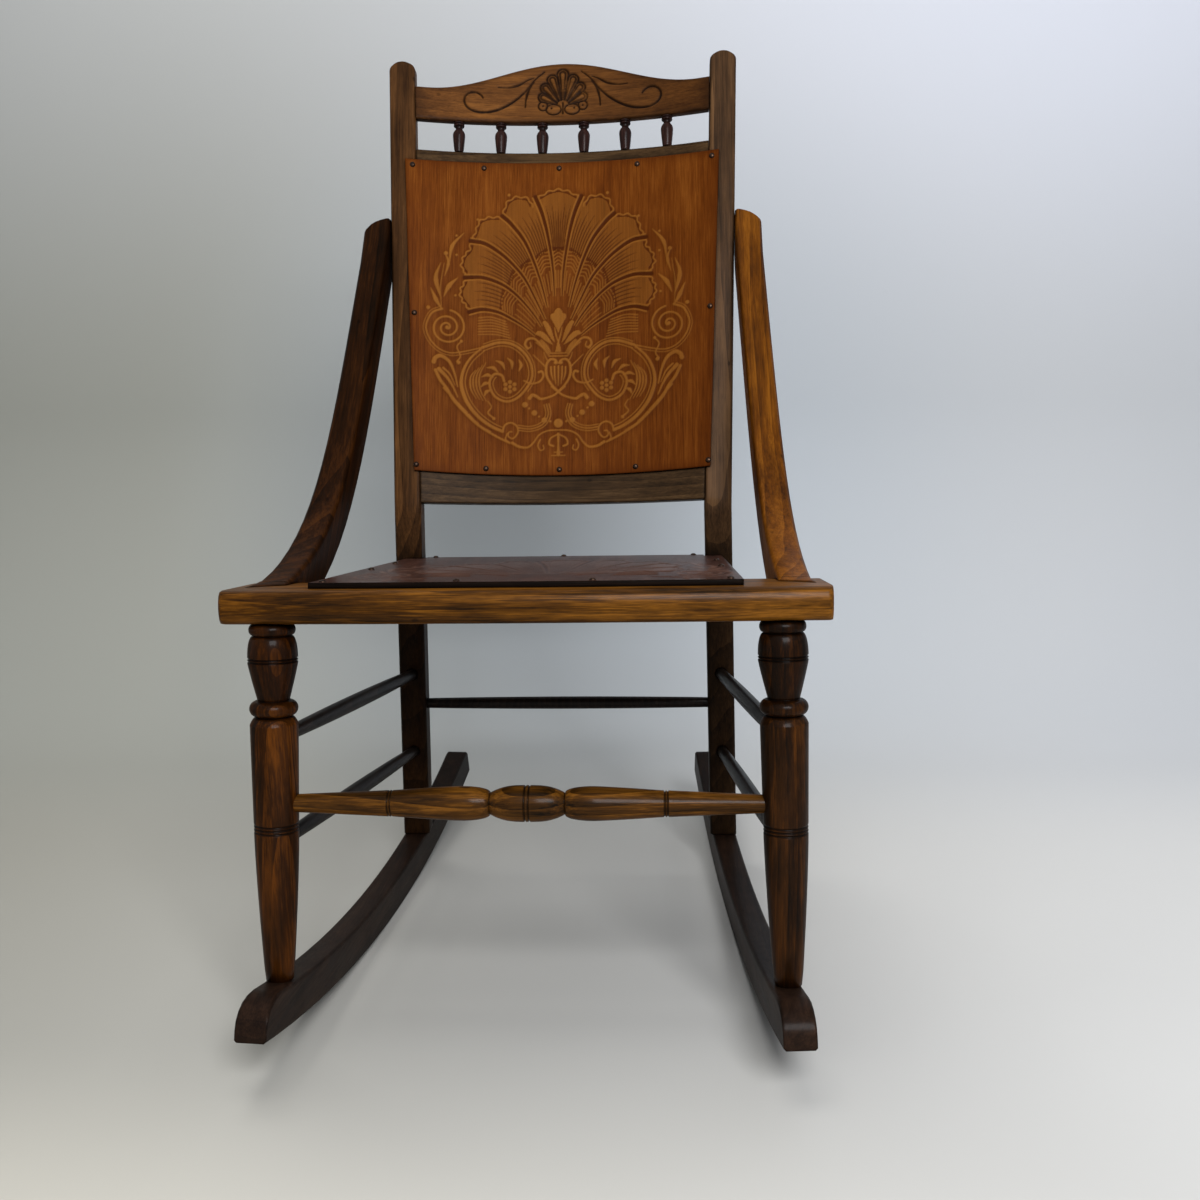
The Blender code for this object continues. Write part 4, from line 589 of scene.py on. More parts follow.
# Outlines and veins of the solid leaves over the urn
URN_LEAVES = (
    ([(-x, y) for x, y in URN_LEAF[1:-1]] + list(URN_LEAF[::-1]), ((0, 218), (0, 228), (0, 238))),
    (((4, 203), (7.6, 217), (11, 225), (15.5, 230), (19, 228.5), (17, 224), (14, 217), (8, 207)),
     ((5.5, 206), (10.5, 217), (15, 226))),
    (((6, 200), (13, 211), (19, 216.5), (25, 217.5), (27, 213.5), (22.5, 211), (15, 205)),
     ((8, 202), (15, 209), (22, 214))),
)
URN_BOWL = (
    (1.4, 178), (3.6, 181.5), (9, 182.5), (13.4, 178), (14.8, 170), (13.6, 161), (9, 152.5), (3.2, 146),
    (0, 143.5),
)
URN_LINES = (
    (((0, 203), (2.6, 212), (4.4, 222)), 0.8, 0.8, 1.8),
    (((37, 196), (40, 201), (37.5, 207), (30.5, 208.5), (24, 204), (13, 190)), 3.0, 1.0, 2.6),
    (((34, 203.5), (33, 198.5), (36.5, 196)), 1.2, 2.0),
    (((16, 174), (23, 181), (30, 188)), 1.6, 1.0),
    (((13, 181), (15.5, 186), (17, 191)), 1.2, 0.8),
    (((-9, 190), (9, 190)), 1.3),
    (((-11, 186.4), (11, 186.4)), 1.5),
    (URN_BOWL, 2.6, 2.2, 3.0),
    (((41.5, 156.5), (33, 153), (23, 155), (18.2, 161.5), (19.6, 167.5), (23.5, 167)), 1.7, 2.8),
    (((34.5, 135), (31, 138.8), (26, 137), (20.3, 134), (7.5, 137.5), (0.4, 142), (-8, 149)), 4.4, 2.2, 2.4),
    (((55, 80.5), (47, 76), (37, 75), (30, 80.5), (23, 90), (13, 95), (0.4, 96)), 3.4, 1.6, 2.0),
    (((21.6, 84.5), (24.4, 77.5), (21.6, 71.5), (17.4, 73), (18.1, 77.5)), 1.8, 1.4),
    (((0, 91), (9, 86), (11, 79), (6, 76.5)), 1.6, 2.4),
    (((0, 91), (0, 78), (0, 66)), 3.4, 4.2, 2.2),
    (((-5, 69), (5, 69)), 1.2),
    (((-8, 65), (8, 65)), 1.2),
)
URN_DOTS = (
    (3.4, 178.4, 2.0), (40, 127, 3.4), (28.7, 117, 3.4), (16.7, 108, 3.4), (0, 104.3, 5.4), (35, 122.5, 1.2),
    (23, 112.5, 1.2), (9.6, 106.5, 1.3),
)


def draw_urn(relief):
    for outline, vein in URN_LEAVES:
        relief.fill(smooth(outline, 0.5), strength=0.9)
        relief.stroke(vein, 0.9, 0.3, 0.7, "dark", 0.9)
    relief.fill(((-3.6, 192), (0, 209), (3.6, 192)), strength=0.9)
    relief.lines(URN_LINES)
    relief.dots(URN_DOTS)
    for i in range(5):
        blade = ((12 - 0.8 * i, 187 + i), (18 - i, 196 + i), (27 - 1.6 * i, 203.5 + 0.8 * i))
        relief.stroke(blade, 0.7, 1.0, 1.3)
    for x, low, high in ((0, 150, 174), (4.6, 152.5, 173.5), (8.8, 157, 173)):
        relief.stroke(((x * 0.7, low), (x * 0.95, (low + high) / 2), (x, high)), 0.8, 2.0, 2.0)


def pressed_pattern(*parts):
    """Parts of the pattern that is pressed into the back and the seat."""
    relief = Relief(*PRESSED_AREA)
    for draw in parts:
        draw(relief)
    relief.dark *= 1 - 0.85 * relief.light
    return relief


# Places on the crest are (distance from the middle, height above its lower edge)
CREST_SCROLL = (
    (22.6, 64.3), (34.6, 54.2), (44.5, 41.3), (57.8, 28.4), (74.6, 17.9), (91.3, 12.6), (106.6, 12.9),
    (116.3, 17.5), (120.5, 24.5), (119.3, 31.7), (113.5, 36.6), (106, 37), (100, 33.5), (98, 30.5),
)
# Cut lines with the widths at their start, end and middle
CREST_LINES = (
    (CREST_SCROLL, 1.2, 1.8, 3.0),
    (((79.5, 44.3), (67.6, 44.3), (54.3, 47.4), (43.7, 53.8), (36, 56.7)), 0.9, 0.9, 2.6),
    (((35.3, 51.3), (41.6, 42.3), (45.3, 29.7), (46.2, 19)), 1.0, 1.0, 2.8),
    (((0, 10.5), (0, 16), (0, 24)), 1.6, 1.6, 1.6),
)
# Base, tip and half width of the petals
CREST_PETALS = (
    ((0, 24), (0, 67.5), 7.0), ((2, 24), (15, 60), 6.6), ((4, 23.5), (25.5, 48.3), 6.4),
    ((5, 22), (29.5, 34.5), 6.2),
)
# Centre and half sizes of the cut ovals at the foot
CREST_OVALS = ((11.5, 16, 9.2, 6.6), (24.5, 20.5, 5.6, 5.6))


def carved_petal(relief, base, tip, half):
    """Rounded petal: a cut outline, a raised body and a cut hollow along its middle."""
    base = np.array(base, float)
    tip = np.array(tip, float)
    run = tip - base
    length = np.linalg.norm(run)
    run /= length
    side = np.array((-run[1], run[0]))
    turn = np.linspace(-math.pi / 2, math.pi / 2, 25)
    foot = base + run * length * 0.1
    for scale, width, strength in ((1.0, 2.2, 1.0), (0.5, 2.0, 0.85)):
        reach = half * scale
        cap = tip - run * half + np.outer(np.cos(turn), run) * reach + np.outer(np.sin(turn), side) * reach
        outline = np.vstack((foot - side * 1.2 * scale, cap, foot + side * 1.2 * scale))
        if scale == 1.0:
            relief.fill(outline, "light", 0.6)
        relief.stamp(even(outline, 0.25), width / 2, "dark", strength)


def carved_pattern():
    """Shell between two scrolls, cut into the crest."""
    relief = Relief(*CARVED_AREA)
    for petal in CREST_PETALS:
        carved_petal(relief, *petal)
    for line in CREST_LINES:
        relief.stroke(*line, "dark")
    turn = np.linspace(0, 2 * math.pi, 60)
    for x, y, wide, tall in CREST_OVALS:
        loop = np.column_stack((x + wide * np.cos(turn), y + tall * np.sin(turn)))
        relief.stamp(even(loop, 0.25), 0.85, "dark")
    relief.stamp([(24.5, 20.5), (14, 17.5)], 1.0, "dark")
    relief.light *= 1 - relief.dark
    return relief


# Meshes

# Frames of the seat and of the back, and the sizes of the CAD part that the new pieces keep
SEAT_FRAME = Matrix.Translation((0, -0.267, 0.4175)) @ Matrix.Rotation(math.radians(-5.3), 4, "X")
BACK_FRAME = Matrix.Translation((0, 0.1358, 0.4444)) @ Matrix.Rotation(math.radians(-15.1), 4, "X")
CLEARANCE = 0.0003
BACK_CURVE = 1.5
POST_OFFSET = 0.1832
POST_SPLAY = 0.0125
POST_HEIGHT = 0.5528
POST_HALF = 0.01575
PANEL_BOTTOM = 0.046
PANEL_TOP = 0.428
PANEL_DROOP = 0.005
PANEL_THICKNESS = 0.004
PANEL_AXIS = -0.0053
PANEL_LAP = 0.006
PANEL_BORDER = 0.014
CREST_BOTTOM = 0.4818
CREST_THICKNESS = 0.012
CREST_REACH = 0.165
CREST_END = 0.041
CREST_RISE = 0.034
CREST_SETBACK = 0.002
CREST_EASE = 0.0025
# Reach of the painted shade along the crest's long edges and at its ends beside the posts
CREST_EDGE_SHADE = 0.006
CREST_END_SHADE = 0.03
# Cells along the side of a block, blocks across and up, and the strength from which one is drawn on
BLOCK = 4
PANEL_BLOCKS = (96, 100)
CREST_BLOCKS = (148, 26)
DRAWN = 0.06
# Heights and depths of the pressed and of the carved lines
PRESSED_UP = 0.0004
PRESSED_DOWN = 0.0003
CARVED_UP = 0.0006
CARVED_DOWN = 0.0016
# Angles in degrees from which edges are sharp
SHARP_RELIEF = 50
SHARP_PLANED = 60
SHARP_TURNED = 48


def post_inner(height):
    """Half distance between the posts."""
    return POST_OFFSET + POST_SPLAY * height / POST_HEIGHT - POST_HALF


def panel_half(height):
    """Half width of the back panel, which laps further on to the posts towards the top."""
    rise = (height - PANEL_BOTTOM) / (PANEL_TOP - PANEL_BOTTOM)
    return post_inner(height) + PANEL_LAP + PANEL_LAP * rise


def crest_top(x):
    """Ogee upper edge of the crest."""
    share = np.minimum(1, np.abs(x) / CREST_REACH)
    return CREST_BOTTOM + CREST_END + CREST_RISE * (1 + np.cos(math.pi * share)) / 2


def to_world(matrix, x, y, z):
    """Points of a frame, given by grids of their coordinates, as places in the world."""
    turn = np.array(matrix.to_3x3())
    return np.stack((x, y, z), axis=2) @ turn.T + np.array(matrix.translation)


def unit_grid(columns, rows):
    """Shares across, from -1 to 1, and up, from 0 to 1, of a grid of blocks."""
    across = np.linspace(-1, 1, columns * BLOCK + 1)[None, :]
    return across, np.linspace(0, 1, rows * BLOCK + 1)[:, None]


def block_sides(row, column):
    """Places along the four sides of a block of cells, going round it."""
    low, high = row * BLOCK, (row + 1) * BLOCK
    left, right = column * BLOCK, (column + 1) * BLOCK
    return (
        [(low, j) for j in range(left, right + 1)],
        [(i, right) for i in range(low, high + 1)],
        [(high, j) for j in range(right, left - 1, -1)],
        [(i, left) for i in range(high, low - 1, -1)],
    )


def outer_edges(kept):
    """Runs of places along the edge of the kept blocks."""
    beyond = np.pad(kept, 1)
    runs = []
    for i, j in zip(*np.nonzero(kept)):
        neighbours = (beyond[i, j + 1], beyond[i + 1, j + 2], beyond[i + 2, j + 1], beyond[i + 1, j])
        runs += [run for run, neighbour in zip(block_sides(i, j), neighbours) if not neighbour]
    return runs


def joined(bm, rings):
    """Faces between neighbours in a row of closed rings."""
    faces = []
    for low, high in zip(rings, rings[1:]):
        for i in range(len(low)):
            faces.append(bm.faces.new((low[i - 1], low[i], high[i], high[i - 1])))
    return faces


def finished_mesh(name, bm, sharp):
    """Mesh of a bmesh, with its edges sharp from an angle in degrees."""
    mesh = bpy.data.meshes.new(name)
    bm.to_mesh(mesh)
    bm.free()
    mesh.set_sharp_from_angle(angle=math.radians(sharp))
    return mesh


def relief_mesh(name, front, rear, values, drawn, kept=None):
    """Closed sheet between two grids of points; blocks with nothing drawn on them become one face each.

    values holds the strengths of the raised, sunk and ground layers at the front's points, for the material.
    """
    kept = np.ones_like(drawn) if kept is None else kept
    bm = bmesh.new()
    layer = bm.verts.layers.float_color.new("relief")
    runs = outer_edges(kept)
    edge = np.zeros(front.shape[:2], bool)
    for run in runs:
        edge[tuple(np.transpose(run))] = True
    sheets = []
    for grid, strengths, detailed in (
        (front, values, kept & drawn), (rear, np.zeros_like(values), np.zeros_like(kept)),
    ):
        used = edge.copy()
        for i, j in zip(*np.nonzero(kept)):
            step = 1 if detailed[i, j] else BLOCK
            used[i * BLOCK:(i + 1) * BLOCK + 1:step, j * BLOCK:(j + 1) * BLOCK + 1:step] = True
        verts = {}
        for place in zip(*np.nonzero(used)):
            verts[place] = bm.verts.new(grid[place])
            verts[place][layer] = (*strengths[place], 1.0)
        for i, j in zip(*np.nonzero(np.kron(detailed, np.ones((BLOCK, BLOCK), bool)))):
            corners = ((i, j), (i, j + 1), (i + 1, j + 1), (i + 1, j))
            bm.faces.new([verts[place] for place in corners])
        for i, j in zip(*np.nonzero(kept & ~detailed)):
            loop = [place for side in block_sides(i, j) for place in side[:-1]]
            bm.faces.new([verts[place] for place in loop if used[place]])
        sheets.append(verts)
    for face in bm.faces:
        face.smooth = True
    upper, lower = sheets
    for run in runs:
        for first, second in zip(run, run[1:]):
            wall = bm.faces.new((upper[first], upper[second], lower[second], lower[first]))
            wall.material_index = 1
    bmesh.ops.recalc_face_normals(bm, faces=bm.faces)
    return finished_mesh(name, bm, SHARP_RELIEF)


def add_piece(name, mesh, finishes, nodes):
    """New piece that stands for CAD nodes."""
    piece = bpy.data.objects.new(name, mesh)
    bpy.context.scene.collection.objects.link(piece)
    for finish in finishes:
        mesh.materials.append(finish)
    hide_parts(*nodes)
    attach(piece, "root")
    return piece


# Toe of an arm, in the frame of the seat
TOE_INNER = 0.2197
TOE_OUTER = 0.2502
TOE_START = 0.0745
TOE_NEAR = 0.0622
TOE_TIP = 0.042
TOE_HEIGHT = 0.0029
TOE_EDGE = 0.0002
TOE_ROUND = 0.28


def add_toe(bm, sign):
    """Feather edge in which an arm runs out aslant along the front rail."""
    across = np.linspace(0, 1, 19)[None, :]
    along = np.linspace(0, 1, 23)[:, None]
    x = sign * (TOE_INNER + (TOE_OUTER - TOE_INNER) * across) + 0 * along
    depth = TOE_START + (TOE_NEAR + (TOE_TIP - TOE_NEAR) * across**1.3 - TOE_START) * along
    side = np.clip((np.abs(2 * across - 1) - (1 - TOE_ROUND)) / TOE_ROUND, 0, 1)
    thick = TOE_EDGE + TOE_HEIGHT * (1 - along) ** 1.6 * np.sqrt(1 - side**2)
    low = np.full_like(x, CLEARANCE)
    sheets = []
    for height in (low + thick, low):
        points = to_world(SEAT_FRAME, x, depth, height)
        sheets.append([[bm.verts.new(point) for point in row] for row in points])
    rings = [upper + lower[::-1] for upper, lower in zip(*sheets)]
    faces = joined(bm, rings)
    for ring in (rings[0], rings[-1]):
        for j in range(x.shape[1] - 1):
            faces.append(bm.faces.new((ring[j], ring[j + 1], ring[-j - 2], ring[-j - 1])))
    bmesh.ops.recalc_face_normals(bm, faces=faces)


def add_planed(names, finish, toe=0):
    """Pieces with the form of CAD nodes, shaded softly over their facets and eased edges.

    toe is the side of the chair on which an arm gets its toe.
    """
    for name in names:
        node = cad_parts[name].data
        mesh = bpy.data.meshes.new(f"planed_{name}")
        mesh.from_pydata([v.co for v in node.vertices], [], [face.vertices for face in node.polygons])
        bm = bmesh.new()
        bm.from_mesh(mesh)
        bmesh.ops.remove_doubles(bm, verts=bm.verts, dist=1e-6)
        bmesh.ops.dissolve_limit(bm, angle_limit=math.radians(0.2), verts=bm.verts, edges=bm.edges)
        if toe:
            add_toe(bm, toe)
        bm.to_mesh(mesh)
        bm.free()
        mesh.shade_smooth()
        mesh.set_sharp_from_angle(angle=math.radians(SHARP_PLANED))
        piece = add_piece(f"planed_{name}", mesh, (finish,), [name])
        piece.modifiers.new("planed", "WEIGHTED_NORMAL").keep_sharp = True


def drawn_blocks(values):
    """Blocks of cells in which anything is drawn."""
    strength = values[:, :, :2].max(axis=2)
    rows, columns = ((size - 1) // BLOCK for size in strength.shape)
    drawn = np.zeros((rows, columns), bool)
    for i in range(BLOCK + 1):
        for j in range(BLOCK + 1):
            part = strength[i:i + rows * BLOCK:BLOCK, j:j + columns * BLOCK:BLOCK]
            drawn |= part[:rows, :columns] > DRAWN
    return drawn


def pressed_lift(values):
    """How far the pressed lines stand out of the surface."""
    return PRESSED_UP * values[:, :, 0] - PRESSED_DOWN * values[:, :, 1]


def back_panel_mesh(relief):
    share, rise = unit_grid(*PANEL_BLOCKS)
    low = PANEL_BOTTOM - PANEL_DROOP * (1 - share**2)
    height = low + (PANEL_TOP - low) * rise
    half = panel_half(height)
    x = share * half
    hollow = (half**2 - x**2) / BACK_CURVE
    values = relief.sample((x - PANEL_AXIS) * 1000, height * 1000)
    # Painted shadow, and dirt, along the panel's edges, where it meets the frame
    margin = np.minimum(np.minimum(half - np.abs(x), PANEL_TOP - height), height - low)
    edge_shadow_and_dirt = np.clip(1 - margin / PANEL_BORDER, 0, 1) ** 2
    values[:, :, 2] = np.maximum(0.8 * values[:, :, 2], edge_shadow_and_dirt)
    front = to_world(BACK_FRAME, x, hollow - PANEL_THICKNESS - pressed_lift(values), height)
    rear = to_world(BACK_FRAME, x, hollow, height)
    return relief_mesh("pressed_back_panel", front, rear, values, drawn_blocks(values))


def crest_mesh(relief):
    share, rise = unit_grid(*CREST_BLOCKS)
    top = crest_top(share * (post_inner(CREST_BOTTOM) - CLEARANCE))
    height = CREST_BOTTOM + (top - CREST_BOTTOM) * rise
    half = post_inner(height)
    x = share * (half - CLEARANCE)
    face = CREST_SETBACK + (half**2 - x**2) / BACK_CURVE
    values = relief.sample(x * 1000, (height - CREST_BOTTOM) * 1000)
    sink = CARVED_DOWN * values[:, :, 1] - CARVED_UP * values[:, :, 0]
    margin = np.minimum(height - CREST_BOTTOM, top - height)
    # Painted shade along the crest's long edges and at its ends beside the posts
    long_edges = np.clip(1 - margin / CREST_EDGE_SHADE, 0, 1)
    ends = np.clip(1 - (half - np.abs(x)) / CREST_END_SHADE, 0, 1) ** 1.5
    values[:, :, 2] = np.maximum(long_edges, ends)
    short = np.clip(CREST_EASE - margin, 0, CREST_EASE)
    rounded = CREST_EASE - np.sqrt(CREST_EASE**2 - short**2)
    front = to_world(BACK_FRAME, x, face + sink + rounded, height)
    rear = to_world(BACK_FRAME, x, face + CREST_THICKNESS - rounded, height)
    drawn = drawn_blocks(values)
    drawn[:1] = drawn[-2:] = True
    return relief_mesh("carved_crest", front, rear, values, drawn)


# Blocks across each rear notch and between the two, and blocks in front of the notches and along them
SEAT_BLOCKS = (3, 56, 64, 4)
SEAT_HALF = 0.18693
SEAT_NOTCH_X = 0.16643
SEAT_NOTCH_DEPTH = 0.4011
SEAT_REAR = 0.4246
SEAT_INSET = 0.025
SEAT_THICKNESS = 0.005
RAIL_LENGTH = 0.52
RAIL_BOW = 0.008
DISH_DEPTH = 0.007
DISH_MIDDLE = 0.24905
DISH_HALF = (0.14693, 0.15405)
# Place of the pattern on the seat, how far it is drawn out sideways and lengthways, and where it ends
SEAT_PATTERN_AXIS = 0.008
SEAT_PATTERN_START = 84
SEAT_PATTERN_FOOT = 212
SEAT_PATTERN_SCALE = (1.1, 1.52)
SEAT_PATTERN_LOW = 176
SEAT_PATTERN_HALF = 160


def seat_mesh(relief):
    outer, inner, front_rows, rear_rows = (BLOCK * count for count in SEAT_BLOCKS)
    x = np.concatenate((
        np.linspace(-SEAT_HALF, -SEAT_NOTCH_X, outer + 1)[:-1],
        np.linspace(-SEAT_NOTCH_X, SEAT_NOTCH_X, inner + 1),
        np.linspace(SEAT_NOTCH_X, SEAT_HALF, outer + 1)[1:],
    ))[None, :]
    start = SEAT_INSET - RAIL_BOW * (1 - (2 * x / RAIL_LENGTH) ** 2)
    near = start + (SEAT_NOTCH_DEPTH - start) * np.linspace(0, 1, front_rows + 1)[:, None]
    far = np.linspace(SEAT_NOTCH_DEPTH, SEAT_REAR, rear_rows + 1)[1:, None] + 0 * x
    depth = np.concatenate((near, far))
    x = x + 0 * depth
    across = np.minimum(1, np.abs(x) / DISH_HALF[0])
    along = np.minimum(1, np.abs(depth - DISH_MIDDLE) / DISH_HALF[1])
    low = CLEARANCE - DISH_DEPTH * (1 - across**2) ** 2 * (1 - along**2) ** 2
    pattern_x = (x - SEAT_PATTERN_AXIS) * 1000 / SEAT_PATTERN_SCALE[0]
    pattern_y = SEAT_PATTERN_FOOT + (depth * 1000 - SEAT_PATTERN_START) / SEAT_PATTERN_SCALE[1]
    values = relief.sample(pattern_x, pattern_y)
    values[(pattern_y < SEAT_PATTERN_LOW) | (np.abs(pattern_x) > SEAT_PATTERN_HALF)] = 0
    front = to_world(SEAT_FRAME, x, depth, low + SEAT_THICKNESS + pressed_lift(values))
    rear = to_world(SEAT_FRAME, x, depth, low)
    drawn = drawn_blocks(values)
    kept = np.ones_like(drawn)
    kept[front_rows // BLOCK:, :outer // BLOCK] = False
    kept[front_rows // BLOCK:, -(outer // BLOCK):] = False
    return relief_mesh("pressed_seat_panel", front, rear, values, drawn, kept)


# Turned pieces: profiles of (distance, radius, painted shade), the shade lying in the grooves and hollows
# and where a piece meets the next

SCORE_DEPTH = 0.0011
FINE_SCORE_DEPTH = 0.0010
SPINDLE_TENON = 0.008
STRETCHER_SHORT = 0.0076
DOWEL_SOCKET = 0.012
DOWEL_END = 0.006
TACK_HEAD = 0.0033
TACK_RISE = 0.0021
TACK_SHANK = 0.0009


def bead(start, length, root, crown, steps=20):
    turn = np.linspace(0, math.pi, steps)
    return [(start + length * (1 - math.cos(t)) / 2, root + (crown - root) * math.sin(t), 0) for t in turn]


def taper(start, end, first, last, fullness, steps=24):
    shares = np.linspace(0, 1, steps)
    return [(start + (end - start) * s, first + (last - first) * s**fullness, 0) for s in shares]


def quarter(start, end, root, crown, steps=16):
    """Quarter round that rises from the root to the crown."""
    length, rise = end - start, crown - root
    turn = np.linspace(0, math.pi / 2, steps)
    return [(start + length * (1 - math.cos(t)), root + rise * math.sin(t), 0) for t in turn]


def scores(start, pitch, count, radius, depth):
    """Scored lines whose bottoms are darkened with painted shade."""
    groove = ((0.08, 0), (0.3, 0.7), (0.42, 1), (0.58, 1), (0.7, 0.7), (0.92, 0))
    starts = [start + pitch * i for i in range(count)]
    return [(at + pitch * share, radius - depth * sunk, sunk) for at in starts for share, sunk in groove]


def leg_profile(length):
    return [
        (-0.018, 0.010, 0), (CLEARANCE, 0.010, 0),
        *bead(0.0009, 0.0094, 0.0166, 0.0198), (0.0105, 0.0163, 1),
        *quarter(0.0112, 0.0292, 0.0168, 0.0213),
        *scores(0.0294, 0.0024, 2, 0.0213, SCORE_DEPTH),
        *taper(0.0343, 0.0668, 0.0213, 0.0137, 1.1), (0.0673, 0.0134, 1),
        *bead(0.0677, 0.0134, 0.0144, 0.0207), (0.0815, 0.0152, 1),
        *taper(0.0820, 0.0883, 0.0160, 0.0206, 0.6),
        *taper(0.0890, 0.1746, 0.0206, 0.0193, 1.0, 4),
        *scores(0.1753, 0.0030, 3, 0.0192, SCORE_DEPTH),
        *taper(0.1850, length - 0.012, 0.0192, 0.0131, 1.35),
        (length - 0.0012, 0.0119, 0), (length - CLEARANCE, 0.0108, 0.6),
        (length - CLEARANCE, 0.008, 0), (length + 0.020, 0.008, 0),
    ]


def stretcher_profile(half):
    outward = [
        *scores(0.0006, 0.0024, 1, 0.0158, FINE_SCORE_DEPTH),
        *taper(0.0032, 0.0321, 0.0158, 0.0096, 2.6), (0.0325, 0.0093, 1),
        *quarter(0.0329, 0.0570, 0.0098, 0.0149, 20),
        *taper(0.0580, 0.1174, 0.0149, 0.0114, 1.25),
        *scores(0.1176, 0.0024, 2, 0.0114, FINE_SCORE_DEPTH),
        *taper(0.1228, half - 0.0206, 0.0113, 0.0080, 1.0, 12), (half - STRETCHER_SHORT, 0.0080, 0),
    ]
    return [(-along, radius, dark) for along, radius, dark in reversed(outward)] + outward


SPINDLE_PROFILE = [
    (-SPINDLE_TENON, 0.0035, 0), (CLEARANCE, 0.0035, 0), (CLEARANCE, 0.0050, 0.5), (0.0010, 0.0053, 0),
    *taper(0.0014, 0.0212, 0.0053, 0.0075, 0.7),
    *taper(0.0218, 0.0292, 0.0075, 0.0042, 2.2, 14),
    (0.0297, 0.0041, 1), (0.0310, 0.0042, 0.6), (0.0326, 0.0046, 1),
    *bead(0.0330, 0.0026, 0.0052, 0.0066, 12), (0.0358, 0.0053, 1),
    *bead(0.0360, 0.0022, 0.0054, 0.0067, 12), (0.0382, 0.0035, 0.4), (0.0465, 0.0035, 0),
]


def dowel_profile(length, radius):
    """Plain stretcher that swells gently between its sockets."""
    profile = [(0, DOWEL_END, 0)]
    for share in np.linspace(0, 1, 40):
        swell = math.sin(math.pi * share) ** 0.8
        along = DOWEL_SOCKET + (length - 2 * DOWEL_SOCKET) * share
        profile.append((along, DOWEL_END + (radius - DOWEL_END) * swell, 0))
    return profile + [(length, DOWEL_END, 0)]


def tack_profile(length):
    """Shank and domed head with a dark rim."""
    base = length - TACK_RISE
    turn = np.linspace(0.16, math.pi / 2 - 0.06, 12)
    return [
        (0, 0.0004, 0), (0.002, TACK_SHANK, 0), (base, TACK_SHANK, 0),
        (base, 0.0030, 1), (base + 0.0002, TACK_HEAD, 0.6),
        *((base + TACK_RISE * math.sin(t), TACK_HEAD * math.cos(t), 0) for t in turn),
    ]


def add_turned(name, node, start, end, profile, finish, sides=64):
    """Piece turned on a lathe: a profile round the line from start towards end."""
    turn = (end - start).normalized().to_track_quat("Z", "Y").to_matrix()
    bm = bmesh.new()
    layer = bm.verts.layers.float_color.new("relief")
    spokes = [heading(angle) for angle in np.linspace(0, 2 * math.pi, sides, endpoint=False)]
    rings = []
    for along, radius, groove_shade in profile:
        rings.append([bm.verts.new(start + turn @ Vector((*radius * spoke, along))) for spoke in spokes])
        for vert in rings[-1]:
            vert[layer] = (0.0, groove_shade, 0.0, 1.0)
    for face in joined(bm, rings):
        face.smooth = True
    bm.faces.new(rings[0][::-1])
    bm.faces.new(rings[-1])
    add_piece(name, finished_mesh(name, bm, SHARP_TURNED), (finish,), [node])


def node_axis(name, towards):
    """Ends of the axis of a turned CAD node; the second lies towards a direction."""
    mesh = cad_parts[name].data
    points = np.empty(len(mesh.vertices) * 3)
    mesh.vertices.foreach_get("co", points)
    points = np.unique(points.reshape(-1, 3).round(6), axis=0)
    middle = points.mean(axis=0)
    axis = np.linalg.svd(points - middle, full_matrices=False)[2][0]
    if axis @ np.array(towards) < 0:
        axis = -axis
    along = (points - middle) @ axis
    return Vector(middle + axis * along.min()), Vector(middle + axis * along.max())


# Pieces

SIDES = {"left": -1, "right": 1}
# Points round the smaller turned pieces
SPINDLE_SIDES = 48
DOWEL_SIDES = 40
TACK_SIDES = 28
# Reach and strength of the painted shade round the pressed lines
SHADE_FIELD_REACH = 4.0
SHADE_FIELD_GAIN = 2.2
# Ends of the right leg between its tenons
LEG_TOP = (0.2192, -0.249764, 0.386777)
LEG_FOOT = (0.2245, -0.279, 0.06904)
# Radii of the plain stretchers
SIDE_STRETCHER = 0.008
REAR_STRETCHER = 0.0075

POST_WOODS = {
    "left": ((108, 72, 40), (74, 48, 26), (36, 22, 12), GRAIN_BACK, (0.21, 0.1, 0.4)),
    "right": ((100, 72, 46), (70, 49, 31), (36, 25, 16), GRAIN_BACK, (-0.14, 0.2, 0.1)),
}
# Painted shade on the posts below the seat, stronger on the left
POST_SHADE_FADES = {"left": 0.2, "right": 0.26}
for side in SIDES:
    post_wood = wood(
        f"post_{side}_wood", *POST_WOODS[side], rings=30, wear=0.4, shade_fade=("Z", 0.46, 0.36, POST_SHADE_FADES[side]),
    )
    add_planed([f"back_post_{side}"], post_wood)

# Crest: painted shade towards its right end, and the Blue layer is painted shade along its edges and at its
# ends
crest_wood = wood(
    "crest_wood", (128, 82, 38), (100, 62, 29), (66, 39, 18), GRAIN_X, (0.05, 0.3, 0.2), rings=22,
    ring_depth=0.2, streak=0.3, wear=0.4, shade_fade=("X", -0.1, 0.19, 0.48),
    lines=(("Blue", (36, 21, 12), 0.8), ("Red", (124, 80, 36), 0.5), ("Green", (20, 10, 6), 1.0)),
)
crest_edge = wood(
    "crest_edge_wood", (92, 60, 34), (66, 42, 25), (36, 22, 14), GRAIN_X, (0.05, 0.3, 0.2), rings=22,
)
mesh = crest_mesh(carved_pattern())
add_piece("carved_crest", mesh, (crest_wood, crest_edge), ["crest_rail"])

rail_wood = wood(
    "back_rail_wood", (84, 63, 40), (60, 43, 26), (34, 24, 14), GRAIN_X, (0.3, 0.12, 0.33), rings=34,
)
add_planed(["upper_back_rail", "lower_back_rail"], rail_wood)

